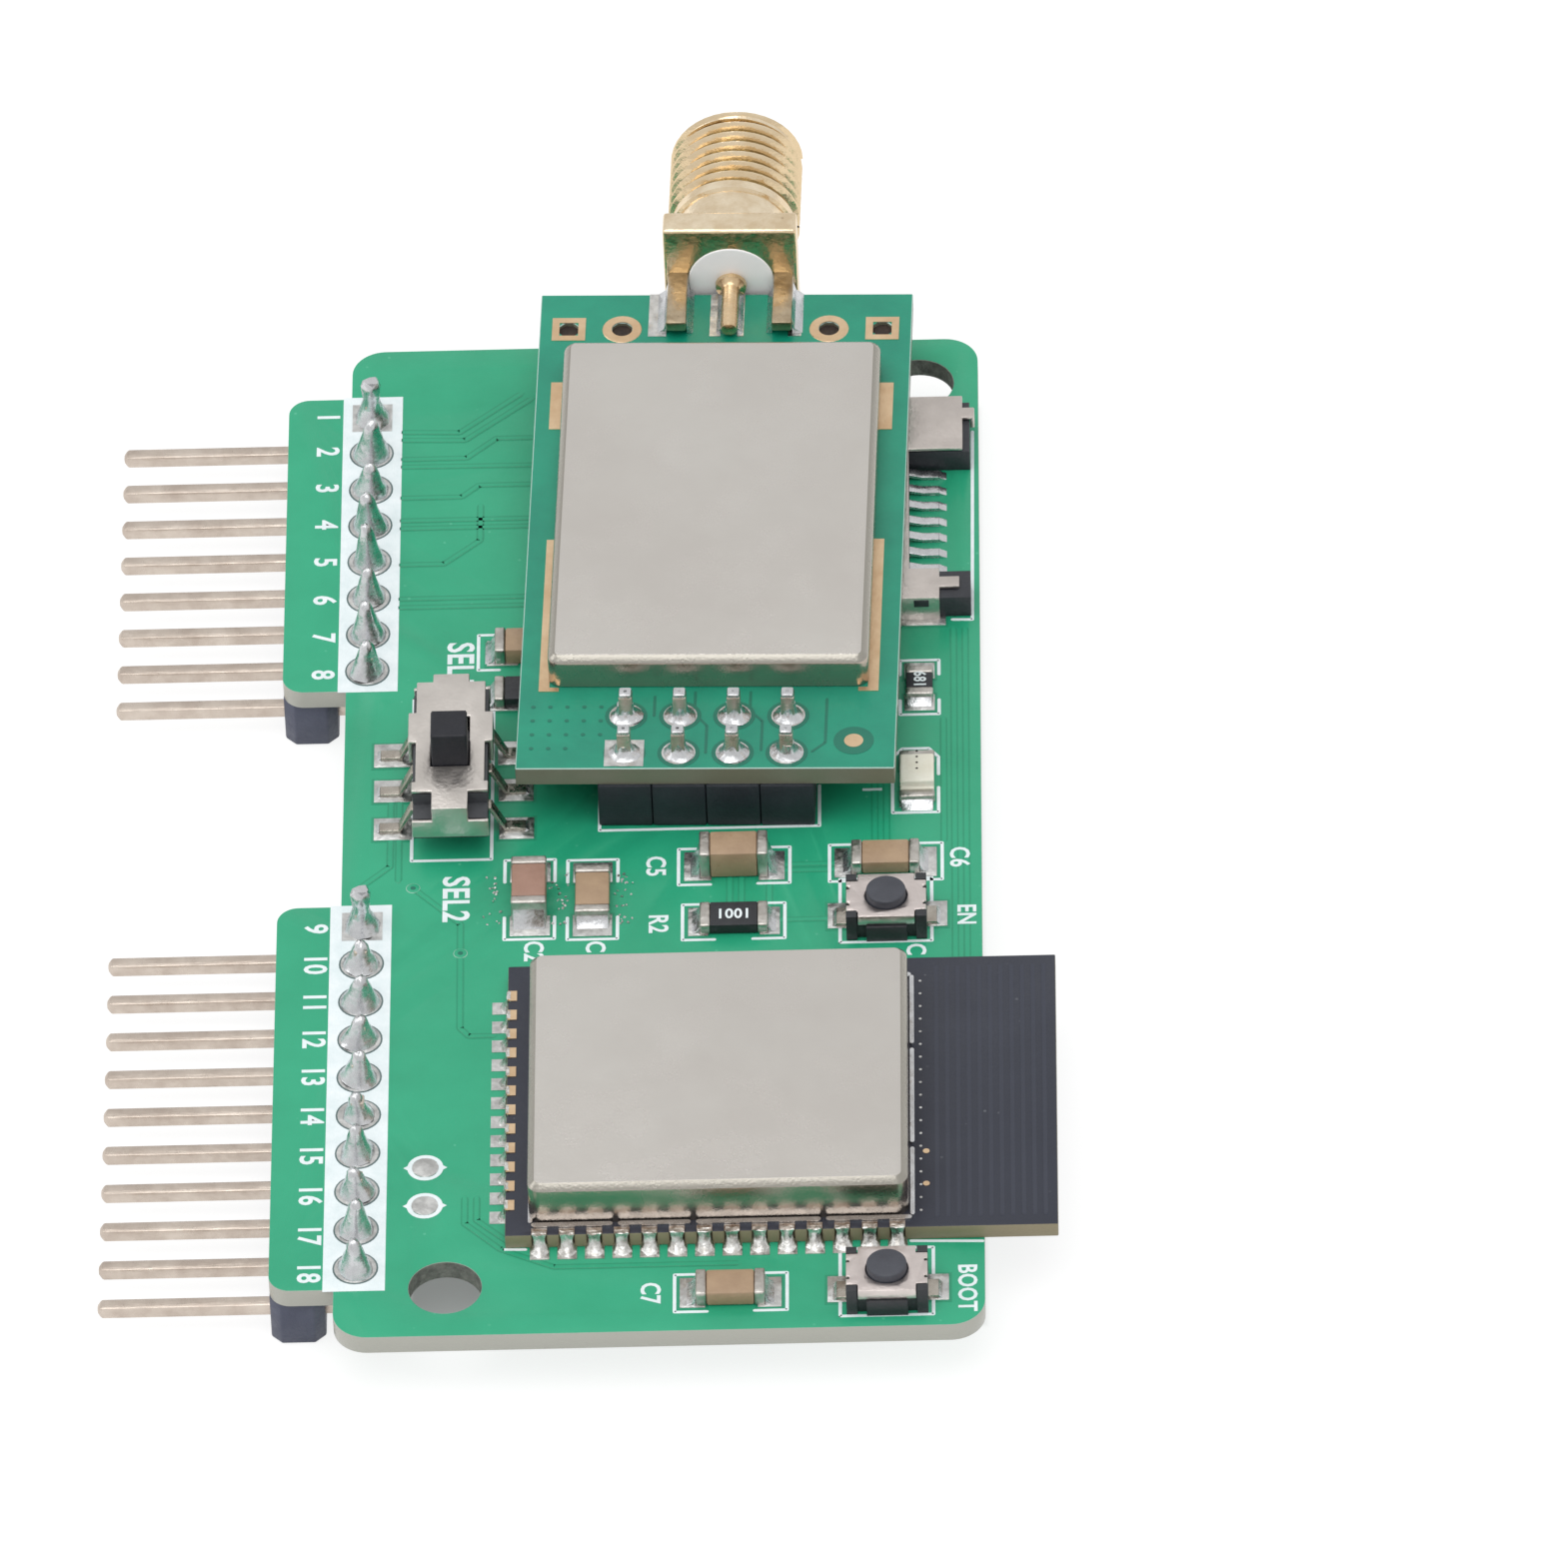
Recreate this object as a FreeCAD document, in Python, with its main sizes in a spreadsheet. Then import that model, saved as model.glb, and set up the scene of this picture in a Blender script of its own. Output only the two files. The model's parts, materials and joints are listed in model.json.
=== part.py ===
import FreeCAD
import Part
import Sketcher
import os
import re

# Wifi development board, in millimetres.
# The origin is on the carrier board's underside, midway between its two mounting holes.
# +Z is up, +Y runs along the board towards the coaxial jack, and +X points away from the
# two rows of header pins.

SIZES = {
    # Carrier board
    "board_width": 30.0,
    "board_length": 67.5,
    "board_thickness": 1.0,
    "board_corner": 1.6,
    "tab_width": 3.0,
    "tab_corner": 1.0,
    "tab_margin": 1.38,
    "mount_hole": 3.4,
    "mount_hole_left": 5.15,
    "mount_hole_right": 2.85,
    "mount_hole_end": 3.15,
    "test_hole": 1.0,
    "test_hole_x": -12,
    "test_hole_y": -25.19,
    # Pin headers
    "pin_pitch": 2.54,
    "pin_width": 0.64,
    "pin_hole": 1.02,
    "pin_chamfer": 0.18,
    "pin_bend": 0.3,
    "pin_reach": 8.0,
    "pin_rise": 1.05,
    "block_width": 2.54,
    "block_height": 2.5,
    "block_bevel": 0.5,
    "header_inset": 1.0,
    "header_a_end": 4.73,
    "header_a_ways": 8,
    "header_b_end": 4.55,
    "header_b_ways": 10,
    # Solder cones round a pin
    "cone_radius": 0.82,
    "cone_height": 1.5,
    "cone_tip": 0.34,
    "cone_slope_share": 0.94,
    # Radio board and its header
    "radio_x": 1.05,
    "radio_y": 2.52,
    "radio_turn": -1.67,
    "radio_width": 17.8,
    "radio_thickness": 1.0,
    "radio_margin": 2.33,
    "radio_ways": 4,
    "radio_pin_rise": 1.6,
    "radio_pin_drop": 1.5,
    "radio_cone_height": 0.95,
    "antenna_hole": 0.95,
    "antenna_hole_inner": 4.95,
    "antenna_hole_outer": 7.5,
    "antenna_hole_margin": 2.49,
    # Shield can of the radio
    "can_wall": 0.2,
    "can_corner": 0.6,
    "can_edge": 0.3,
    "radio_can_width": 15.1,
    "radio_can_length": 22.5,
    "radio_can_height": 1.8,
    "radio_can_near": 3.25,
    "radio_can_margin": 5.12,
    # Chips under the radio's can
    "radio_chip_size": 4.0,
    "radio_chip_height": 0.85,
    "radio_chip_y": 9.5,
    "amplifier_size": 3.0,
    "amplifier_height": 0.75,
    "amplifier_y": 20.0,
    "crystal_length": 3.2,
    "crystal_width": 2.5,
    "crystal_height": 0.8,
    "radio_crystal_x": 4.8,
    "radio_crystal_y": 8.5,
    # Coaxial jack with a 1/4-36 thread
    "jack_x": 0.2,
    "jack_gap": 0.4,
    "jack_axis_rise": 0.5,
    "jack_flange": 6.4,
    "jack_flange_corner": 0.5,
    "jack_flange_thickness": 1.4,
    "jack_neck_radius": 2.85,
    "jack_neck_length": 2.2,
    "jack_thread_radius": 3.175,
    "jack_thread_length": 5.2,
    "jack_lead_in": 0.35,
    "jack_leg_spread": 5.05,
    "jack_leg_width": 0.95,
    "jack_leg_height": 1.03,
    "jack_leg_length": 3.2,
    "dielectric_radius": 2.06,
    "dielectric_recess": 0.15,
    "contact_radius": 0.64,
    "contact_bore": 0.47,
    "contact_bore_depth": 3.0,
    "contact_tail_radius": 0.41,
    "contact_tail": 3.4,
    "contact_shoulder": 0.45,
    # Wireless module
    "module_x": 4.51,
    "module_y": -19.1,
    "module_length": 25.5,
    "module_width": 18.0,
    "module_thickness": 0.8,
    "edge_pitch": 1.27,
    "edge_hole": 0.7,
    "edge_front_count": 14,
    "edge_side_count": 12,
    "edge_front_start": 1.58,
    "module_can_x": -2.77,
    "module_can_y": -0.33,
    "module_can_length": 17.3,
    "module_can_width": 15.8,
    "module_can_height": 2.3,
    "joint_width": 0.86,
    "joint_toe": 0.65,
    "joint_height": 0.72,
    "processor_size": 5.0,
    "processor_height": 0.9,
    "processor_x": -0.5,
    "flash_length": 5.2,
    "flash_width": 5.2,
    "flash_height": 1.75,
    "flash_x": -7.6,
    "module_crystal_y": -5.0,
    # Slide switch
    "switch_x": -10.99,
    "switch_y": 2.74,
    "switch_length": 8.8,
    "switch_width": 3.5,
    "switch_stand": 1.2,
    "switch_top": 3.3,
    "switch_wall": 0.45,
    "switch_floor": 0.35,
    "switch_shoulder": 1.0,
    "cover_sheet": 0.2,
    "cover_width": 3.24,
    "cover_wing_width": 3.6,
    "cover_wing_length": 0.65,
    "cover_tab_width": 1.7,
    "cover_front": 3.4,
    "cover_rear": 4.1,
    "cover_drop": 0.85,
    "cover_band": 1.0,
    "cover_clip_width": 2.0,
    "cover_clip_y": 1.0,
    "knob_width": 1.7,
    "knob_length": 1.8,
    "knob_rise": 1.85,
    "knob_rest": -0.75,
    "knob_travel": 1.5,
    "knob_play": 0.06,
    "knob_foot_length": 3.4,
    "knob_foot_width": 2.1,
    "lead_pitch": 2.5,
    "lead_width": 0.6,
    "lead_sheet": 0.16,
    "lead_foot": 1.35,
    "lead_slope": 0.75,
    "clip_width": 0.4,
    "clip_length": 2.7,
    "clip_height": 0.3,
    "slide_gap": 0.04,
    # Push buttons
    "enable_x": 9.4,
    "enable_y": -6.55,
    "boot_x": 9.37,
    "boot_y": -31.5,
    "button_length": 3.76,
    "button_width": 2.94,
    "button_height": 1.5,
    "button_sheet": 0.15,
    "button_post_x": 0.5,
    "button_post_y": 0.42,
    "button_nose_length": 1.9,
    "button_nose_depth": 0.12,
    "button_nose_height": 0.9,
    "button_skirt": 0.55,
    "button_notch": 0.16,
    "button_notch_y": 0.55,
    "plunger_radius": 0.93,
    "plunger_rise": 0.4,
    "plunger_collar": 0.2,
    "plunger_collar_height": 0.25,
    "plunger_nub_radius": 0.35,
    "plunger_play": 0.06,
    "dome_radius": 1.1,
    "dome_rise": 0.35,
    "dome_sheet": 0.07,
    "terminal_width": 1.1,
    "terminal_reach": 0.92,
    "terminal_sheet": 0.2,
    # Card socket
    "socket_x": 5.95,
    "socket_y": 20.98,
    "socket_depth": 15.0,
    "socket_width": 14.2,
    "socket_height": 1.45,
    "socket_sheet": 0.2,
    "socket_floor": 0.35,
    "socket_recess": 2.9,
    "socket_recess_low": 2.1,
    "socket_recess_high": 3.7,
    "card_width": 11.1,
    "card_offset": -0.35,
    "tail_pitch": 1.1,
    "tail_count": 8,
    "tail_low_y": -4.71,
    "tail_width": 0.5,
    "tail_reach": 1.85,
    "tail_sheet": 0.15,
    "sled_length": 4.0,
    "sled_width": 1.0,
    "sled_height": 0.6,
    "sled_play": 0.05,
    "spring_length": 5.4,
    "spring_radius": 0.3,
    "spring_wire": 0.12,
    "spring_turns": 5,
    "socket_rear_wall": 1.0,
    "contact_start": 5.5,
    "socket_near_gap": 1.47,
    "socket_far_gap": 0.33,
    "sled_lug_length": 0.9,
    "sled_lug_reach": 0.7,
    "hook_reach": 0.95,
    "hook_width": 0.7,
    "hook_offset": 0.6,
    # Chip parts: case sizes, then each part's place and height
    "large_length": 3.2,
    "large_width": 1.6,
    "small_length": 2.0,
    "small_width": 1.25,
    "end_cap": 0.5,
    "cap_swell": 0.03,
    "fillet_toe": 0.5,
    "fillet_rise": 0.7,
    "chip_seat": 0.04,
    "c1_x": -4.37,
    "c1_y": -4.86,
    "c1_height": 0.75,
    "c2_x": -7.33,
    "c2_y": -4.76,
    "c2_height": 1.3,
    "c5_x": 2.25,
    "c5_y": -2.78,
    "c5_height": 1.5,
    "c6_x": 9.35,
    "c6_y": -2.76,
    "c6_height": 0.72,
    "c7_x": 2.15,
    "c7_y": -31.42,
    "c7_height": 0.8,
    "c3_x": -7.5,
    "c3_y": 12.25,
    "c3_height": 0.9,
    "c4_x": -7.5,
    "c4_y": 9.2,
    "c4_height": 0.6,
    "r2_x": 2.25,
    "r2_y": -6.6,
    "r2_height": 0.55,
    "r1_x": 10.98,
    "r1_y": 9.2,
    "r1_height": 0.5,
    "led_x": 10.85,
    "led_y": 2.8,
    "led_base": 0.45,
    "led_lens": 0.4,
    "led_lens_length": 1.9,
}

doc = FreeCAD.newDocument("WifiDevelopmentBoard")
sheet = doc.addObject("Spreadsheet::Sheet", "Sizes")
for row, (alias, value) in enumerate(SIZES.items(), start=1):
    sheet.set(f"A{row}", alias)
    sheet.set(f"B{row}", str(value))
    sheet.setAlias(f"B{row}", alias)
doc.recompute()

# Frames: where a sub-assembly's own origin lies on the carrier, and its turn about +Z.
BOARD = ("0", "0", "0", "0")
RADIO = ("radio_x", "radio_y", "0", "radio_turn")
MODULE = ("module_x", "module_y", "board_thickness", "0")
SWITCH = ("switch_x", "switch_y", "board_thickness", "0")
ENABLE = ("enable_x", "enable_y", "board_thickness", "0")
BOOT = ("boot_x", "boot_y", "board_thickness", "0")
SOCKET = ("socket_x", "socket_y", "board_thickness", "0")

# Places tied to the carrier's edges
BOARD_X = "(mount_hole_right - mount_hole_left) / 2"
MOUNT_X = "(board_width - mount_hole_left - mount_hole_right) / 2"
MOUNT_Y = "(board_length / 2 - mount_hole_end)"
HEADER_X = f"({BOARD_X} - board_width / 2 + header_inset)"
HEADER_A_Y = "(board_length / 2 - header_a_end - pin_pitch * (header_a_ways - 1))"
HEADER_B_Y = "(header_b_end - board_length / 2)"

# The radio's can follows its header, and the board's far edge and the jack follow the can
RADIO_CAN_Y = "radio_can_near + radio_can_length / 2"
RADIO_FAR = "(radio_can_near + radio_can_length + radio_can_margin)"

# Heights in the radio's frame
RADIO_BOTTOM = "board_thickness + block_width"
RADIO_TOP = "board_thickness + block_width + radio_thickness"

TINY = 1e-4
# Share of an even octagon's width that each corner cuts off
OCTAGON_CUT = 1 - 0.5 ** 0.5


def bind(item, prop, text):
    """Bind a property to an expression written with the sheet's aliases."""
    cells = re.sub(r"[a-z][a-z0-9_]+", lambda word: f"Sizes.{word[0]}" if word[0] in SIZES else word[0], text)
    item.setExpression(prop, cells)


def seat(item, frame):
    """Place an item in one of the frames."""
    x, y, z, turn = frame
    bind(item, "Placement.Base.x", x)
    bind(item, "Placement.Base.y", y)
    bind(item, "Placement.Base.z", z)
    bind(item, "Placement.Rotation.Angle", turn)


def rectangle(x, y, length, width):
    """Corners of a rectangle about (x, y), length along X."""
    return [
        (f"{x} - ({length}) / 2", f"{y} - ({width}) / 2"),
        (f"{x} + ({length}) / 2", f"{y} - ({width}) / 2"),
        (f"{x} + ({length}) / 2", f"{y} + ({width}) / 2"),
        (f"{x} - ({length}) / 2", f"{y} + ({width}) / 2"),
    ]


def box_outline(low_x, low_y, high_x, high_y):
    """Corners of a rectangle between two corners."""
    return [(low_x, low_y), (high_x, low_y), (high_x, high_y), (low_x, high_y)]


def bevelled(x, y, length, width, bevel):
    """Corners of a rectangle about (x, y) with its four corners cut off."""
    half_x, half_y = f"({length}) / 2", f"({width}) / 2"
    short_x, short_y = f"({length}) / 2 - ({bevel})", f"({width}) / 2 - ({bevel})"
    corners = [
        (half_x, f"-({short_y})"), (half_x, short_y), (short_x, half_y), (f"-({short_x})", half_y),
        (f"-({half_x})", short_y), (f"-({half_x})", f"-({short_y})"), (f"-({short_x})", f"-({half_y})"),
        (short_x, f"-({half_y})"),
    ]
    return [(f"{x} + ({px})", f"{y} + ({py})") for px, py in corners]


def octagon(x, y, size, bevel):
    """Corners of a square with its four corners cut off."""
    return bevelled(x, y, size, size, bevel)


def regular(x, y, size):
    """Corners of an even octagon, size across its flats."""
    return octagon(x, y, size, f"({size}) * {OCTAGON_CUT}")


def upright(edge):
    """True for a straight edge along Z."""
    box = edge.BoundBox
    return box.ZLength > TINY and box.XLength < TINY and box.YLength < TINY


def at_top(edge, shape):
    """True for an edge lying in the shape's top face."""
    return edge.BoundBox.ZMin > shape.BoundBox.ZMax - TINY


def at_bottom(edge, shape):
    """True for an edge lying in the shape's lowest face."""
    return edge.BoundBox.ZMax < shape.BoundBox.ZMin + TINY


class Piece:
    """A PartDesign body in one of the frames, with its sketches and features."""

    def __init__(self, name, frame=BOARD):
        self.name = name
        self.count = 0
        self.body = doc.addObject("PartDesign::Body", name)
        self.body.Label = name
        seat(self.body, frame)

    def add(self, kind, what):
        self.count += 1
        return self.body.newObject(kind, f"{self.name}_{what}_{self.count}")

    def datum(self, role):
        return [item for item in self.body.Origin.OriginFeatures if item.Role == role][0]

    def sketch(self, outlines=(), circles=(), plane="XY_Plane", shift=("0", "0", "0"), turn="0"):
        """A sketch on an origin plane: closed outlines and circles, every coordinate bound."""
        sketch = self.add("Sketcher::SketchObject", "sketch")
        sketch.AttachmentSupport = [(self.datum(plane), "")]
        sketch.MapMode = "FlatFace"
        for axis, text in zip("xyz", shift):
            bind(sketch, f"AttachmentOffset.Base.{axis}", text)
        bind(sketch, "AttachmentOffset.Rotation.Angle", turn)
        for outline in outlines:
            self.draw_outline(sketch, outline)
        for x, y, diameter in circles:
            self.draw_circle(sketch, x, y, diameter)
        return sketch

    def hold(self, sketch, kind, geometry, point, text):
        """Hold a point's coordinate at an expression."""
        name = f"{kind[-1]}_{geometry}_{point}"
        index = sketch.addConstraint(Sketcher.Constraint(f"Distance{kind}", -1, 1, geometry, point, 1.0))
        sketch.renameConstraint(index, name)
        bind(sketch, f"Constraints.{name}", text)

    def draw_outline(self, sketch, corners):
        first = sketch.GeometryCount
        count = len(corners)
        rough = [FreeCAD.Vector(index % 7 + 1, index // 7 + index * 0.3 + 1, 0) for index in range(count)]
        for index in range(count):
            sketch.addGeometry(Part.LineSegment(rough[index], rough[(index + 1) % count]), False)
        for index in range(count):
            after = first + (index + 1) % count
            sketch.addConstraint(Sketcher.Constraint("Coincident", first + index, 2, after, 1))
        for index, (x, y) in enumerate(corners):
            self.hold(sketch, "X", first + index, 1, x)
            self.hold(sketch, "Y", first + index, 1, y)

    def draw_circle(self, sketch, x, y, diameter):
        circle = Part.Circle(FreeCAD.Vector(1, 1, 0), FreeCAD.Vector(0, 0, 1), 1.0)
        geometry = sketch.addGeometry(circle, False)
        self.hold(sketch, "X", geometry, 3, x)
        self.hold(sketch, "Y", geometry, 3, y)
        index = sketch.addConstraint(Sketcher.Constraint("Diameter", geometry, 2.0))
        sketch.renameConstraint(index, f"size_{geometry}")
        bind(sketch, f"Constraints.size_{geometry}", diameter)

    def pad(self, sketch, height, centred=False, flip=False):
        feature = self.add("PartDesign::Pad", "pad")
        feature.Profile = sketch
        bind(feature, "Length", height)
        feature.Reversed = flip
        if centred:
            feature.SideType = "Symmetric"
        return feature

    def pocket(self, sketch, depth=None, flip=False, centred=False):
        """A pocket of a depth, or through everything on both sides."""
        feature = self.add("PartDesign::Pocket", "pocket")
        feature.Profile = sketch
        feature.Reversed = flip
        if depth is None:
            feature.Type = "ThroughAll"
            feature.SideType = "Symmetric"
        else:
            bind(feature, "Length", depth)
        if centred:
            feature.SideType = "Symmetric"
        return feature

    def turn(self, sketch, kind="Revolution"):
        """Turn a sketch about its own vertical axis."""
        feature = self.add(f"PartDesign::{kind}", "turn")
        feature.Profile = sketch
        feature.ReferenceAxis = (sketch, ["V_Axis"])
        return feature

    def row(self, features, axis, count, pitch):
        """Repeat features along an origin axis."""
        pattern = self.add("PartDesign::LinearPattern", "row")
        pattern.Originals = list(features)
        pattern.Direction = (self.datum(axis), [""])
        bind(pattern, "Length", f"({pitch}) * (({count}) - 1)")
        bind(pattern, "Occurrences", count)
        self.body.Tip = pattern
        return pattern

    def row_whole(self, axis, count, pitch):
        """Repeat everything built so far along an origin axis."""
        pattern = self.add("PartDesign::LinearPattern", "row")
        pattern.TransformMode = "Whole shape"
        pattern.Direction = (self.datum(axis), [""])
        bind(pattern, "Length", f"({pitch}) * (({count}) - 1)")
        bind(pattern, "Occurrences", count)
        self.body.Tip = pattern
        return pattern

    def ease(self, base, size, wanted, kind="Fillet"):
        """Fillet or chamfer the edges of a feature that a test picks."""
        doc.recompute()
        shape = base.Shape
        edges = [f"Edge{index}" for index, edge in enumerate(shape.Edges, start=1) if wanted(edge, shape)]
        feature = self.add(f"PartDesign::{kind}", kind.lower())
        feature.Base = (base, edges)
        bind(feature, "Radius" if kind == "Fillet" else "Size", size)
        return feature


def cut(name, base, tool):
    """A node that is one object less another."""
    result = doc.addObject("Part::Cut", name)
    result.Base = base
    result.Tool = tool
    result.Label = name
    return result


# Carrier board: outline with its two tabs, then every hole

carrier = Piece("carrier_board")
left, right = f"{BOARD_X} - board_width / 2", f"{BOARD_X} + board_width / 2"
front, back = "-board_length / 2", "board_length / 2"
tab_left = f"{left} - tab_width"
tab_a_low = f"{HEADER_A_Y} - tab_margin"
tab_a_high = f"{HEADER_A_Y} + pin_pitch * (header_a_ways - 1) + tab_margin"
tab_b_low = f"{HEADER_B_Y} - tab_margin"
tab_b_high = f"{HEADER_B_Y} + pin_pitch * (header_b_ways - 1) + tab_margin"
outline = carrier.sketch([[
    (left, front), (right, front), (right, back), (left, back),
    (left, tab_a_high), (tab_left, tab_a_high), (tab_left, tab_a_low), (left, tab_a_low),
    (left, tab_b_high), (tab_left, tab_b_high), (tab_left, tab_b_low), (left, tab_b_low),
]])
plate = carrier.pad(outline, "board_thickness")


def main_corner(edge, shape):
    """The four corners of the board's main rectangle."""
    y = abs(edge.BoundBox.YMin)
    return upright(edge) and y > shape.BoundBox.YMax - TINY


def tab_corner(edge, shape):
    """The outer corners of the two tabs."""
    return upright(edge) and edge.BoundBox.XMin < shape.BoundBox.XMin + TINY


rounded = carrier.ease(plate, "board_corner", main_corner)
rounded = carrier.ease(rounded, "tab_corner", tab_corner)
for low_y, ways in ((HEADER_A_Y, "header_a_ways"), (HEADER_B_Y, "header_b_ways")):
    hole = carrier.pocket(carrier.sketch([regular(HEADER_X, low_y, "pin_hole")]))
    carrier.row([hole], "Y_Axis", ways, "pin_pitch")
mount_holes = [
    (f"-{MOUNT_X}", f"-{MOUNT_Y}", "mount_hole"),
    (MOUNT_X, MOUNT_Y, "mount_hole"),
]
carrier.pocket(carrier.sketch(circles=mount_holes))
test_holes = [
    ("test_hole_x", "test_hole_y", "test_hole"),
    ("test_hole_x", "test_hole_y + pin_pitch", "test_hole"),
]
carrier.pocket(carrier.sketch(circles=test_holes))
radio_holes = [
    regular(f"({column} - (radio_ways - 1) / 2) * pin_pitch", f"{side} * pin_pitch / 2", "pin_hole")
    for column in range(int(SIZES["radio_ways"]))
    for side in (-1, 1)
]
carrier.pocket(carrier.sketch(radio_holes, shift=("radio_x", "radio_y", "0"), turn="radio_turn"))


# Solder cones: a hollow-sided cone turned round each pin, less the pin

def solder_cone(piece, x, y, base, height, down=False):
    """One cone of eight sides standing on the plane z = base at (x, y)."""
    stub = piece.pad(piece.sketch([regular(x, y, "2 * cone_radius")], shift=("0", "0", base)), height, flip=down)
    cone = piece.ease(stub, f"({height}) * cone_slope_share", at_bottom if down else at_top, kind="Chamfer")
    cone.ChamferType = "Two distances"
    bind(cone, "Size2", "cone_radius - cone_tip")
    return cone


# Right-angle pin headers: block under the tab, bent pins, solder on top

def angled_header(name, low_y, ways):
    """Block, pins and solder of one row; the pins leave the block towards -X."""
    pin_z = "-block_height / 2"
    block_x = f"{tab_left} + block_width / 2"
    block = Piece(f"{name}_block")
    cell = block.sketch([octagon(block_x, low_y, "block_width", "block_bevel")], shift=("0", "0", "-block_height"))
    block.row([block.pad(cell, "block_height")], "Y_Axis", ways, "pin_pitch")
    bore = block.sketch([rectangle(low_y, pin_z, "pin_width", "pin_width")], plane="YZ_Plane", shift=("0", "0", block_x))
    block.row([block.pocket(bore)], "Y_Axis", ways, "pin_pitch")

    pins = Piece(f"{name}_pins")
    tip = f"{tab_left} - pin_reach"
    top = "board_thickness + pin_rise"
    near, far = f"{HEADER_X} - pin_width / 2", f"{HEADER_X} + pin_width / 2"
    low, high = f"{pin_z} - pin_width / 2", f"{pin_z} + pin_width / 2"
    wire = pins.sketch(
        [[(tip, low), (far, low), (far, top), (near, top), (near, high), (tip, high)]],
        plane="XZ_Plane", shift=("0", "0", f"-({low_y})"),
    )
    bar = pins.pad(wire, "pin_width", centred=True)
    bar = pins.ease(bar, "pin_bend + pin_width", outer_bend)
    pins.ease(bar, "pin_chamfer", pin_tip, kind="Chamfer")
    pins.row_whole("Y_Axis", ways, "pin_pitch")

    cones = Piece(f"{name}_cones")
    solder_cone(cones, HEADER_X, low_y, "board_thickness", "cone_height")
    cones.row_whole("Y_Axis", ways, "pin_pitch")
    cut(f"{name}_solder", cones.body, pins.body)


def outer_bend(edge, shape):
    """The outside edge of a right-angle pin's bend."""
    box = edge.BoundBox
    return box.YLength > TINY and box.XMin > shape.BoundBox.XMax - TINY and box.ZMax < shape.BoundBox.ZMin + TINY


def pin_tip(edge, shape):
    """The edges of a pin's free end."""
    return edge.BoundBox.XMax < shape.BoundBox.XMin + TINY


angled_header("header_a", HEADER_A_Y, "header_a_ways")
angled_header("header_b", HEADER_B_Y, "header_b_ways")


# Radio board on its straight 2 x 4 header

radio_board = Piece("radio_board", RADIO)
radio_outline = box_outline(
    "-radio_width / 2", "-radio_margin", "radio_width / 2", RADIO_FAR
)
radio_board.pad(radio_board.sketch([radio_outline], shift=("0", "0", RADIO_BOTTOM)), "radio_thickness")
radio_board.pocket(radio_board.sketch(radio_holes))
antenna_holes = [
    regular(f"{side} * {place}", f"{RADIO_FAR} - antenna_hole_margin", "antenna_hole")
    for side in (-1, 1)
    for place in ("antenna_hole_inner", "antenna_hole_outer")
]
radio_board.pocket(radio_board.sketch(antenna_holes))

grid = [
    (f"({column} - (radio_ways - 1) / 2) * pin_pitch", f"{side} * pin_pitch / 2")
    for column in range(int(SIZES["radio_ways"]))
    for side in (-1, 1)
]
socket_block = Piece("radio_header_block", RADIO)
cells = [octagon(x, y, "block_width", "block_bevel") for x, y in grid]
for cell in cells:
    socket_block.pad(socket_block.sketch([cell], shift=("0", "0", "board_thickness")), "block_width")
socket_block.pocket(socket_block.sketch([rectangle(x, y, "pin_width", "pin_width") for x, y in grid]))

radio_pins = Piece("radio_header_pins", RADIO)
squares = [rectangle(x, y, "pin_width", "pin_width") for x, y in grid]
posts = radio_pins.pad(
    radio_pins.sketch(squares, shift=("0", "0", "-radio_pin_drop")),
    f"radio_pin_drop + {RADIO_TOP} + radio_pin_rise",
)


def pin_end(edge, shape):
    """The edges of both ends of an upright pin."""
    box, whole = edge.BoundBox, shape.BoundBox
    return box.ZMin > whole.ZMax - TINY or box.ZMax < whole.ZMin + TINY


radio_pins.ease(posts, "pin_chamfer", pin_end, kind="Chamfer")
for name, base, down in (("radio_header_solder", RADIO_TOP, False), ("radio_header_solder_below", "0", True)):
    cones = Piece(f"{name}_cones", RADIO)
    solder_cone(cones, *grid[0], base, "radio_cone_height", down)
    cones.row_whole("X_Axis", "radio_ways", "pin_pitch")
    cones.row_whole("Y_Axis", "2", "pin_pitch")
    cut(name, cones.body, radio_pins.body)


# Drawn cans over the chips

def shield_can(name, frame, x, y, length, width, base, height):
    """A drawn can: outside form, rounded, then hollowed from below."""
    can = Piece(name, frame)
    block = can.pad(can.sketch([rectangle(x, y, length, width)], shift=("0", "0", base)), height)
    block = can.ease(block, "can_corner", lambda edge, shape: upright(edge))
    can.ease(block, "can_edge", at_top, kind="Chamfer")
    hollow = can.sketch(
        [bevelled(x, y, f"{length} - 2 * can_wall", f"{width} - 2 * can_wall", "can_corner - can_wall")],
        shift=("0", "0", base),
    )
    can.pocket(hollow, f"{height} - can_wall", flip=True)
    return can


def chip(name, frame, x, y, length, width, base, height):
    """A moulded chip with a bevelled top."""
    body = Piece(name, frame)
    block = body.pad(body.sketch([rectangle(x, y, length, width)], shift=("0", "0", base)), height)
    body.ease(block, "chip_seat", at_top, kind="Chamfer")
    return body


shield_can("radio_shield", RADIO, "0", RADIO_CAN_Y, "radio_can_width", "radio_can_length", RADIO_TOP,
           "radio_can_height")
chip("radio_chip", RADIO, "0", "radio_chip_y", "radio_chip_size", "radio_chip_size", RADIO_TOP, "radio_chip_height")
chip("radio_amplifier", RADIO, "0", "amplifier_y", "amplifier_size", "amplifier_size", RADIO_TOP, "amplifier_height")
chip("radio_crystal", RADIO, "radio_crystal_x", "radio_crystal_y", "crystal_width", "crystal_length", RADIO_TOP,
     "crystal_height")


# Coaxial jack: its axis lies along +Y; the flange's face stands just clear of the board's edge.
# The barrel is plain at the thread's outer diameter.

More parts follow.
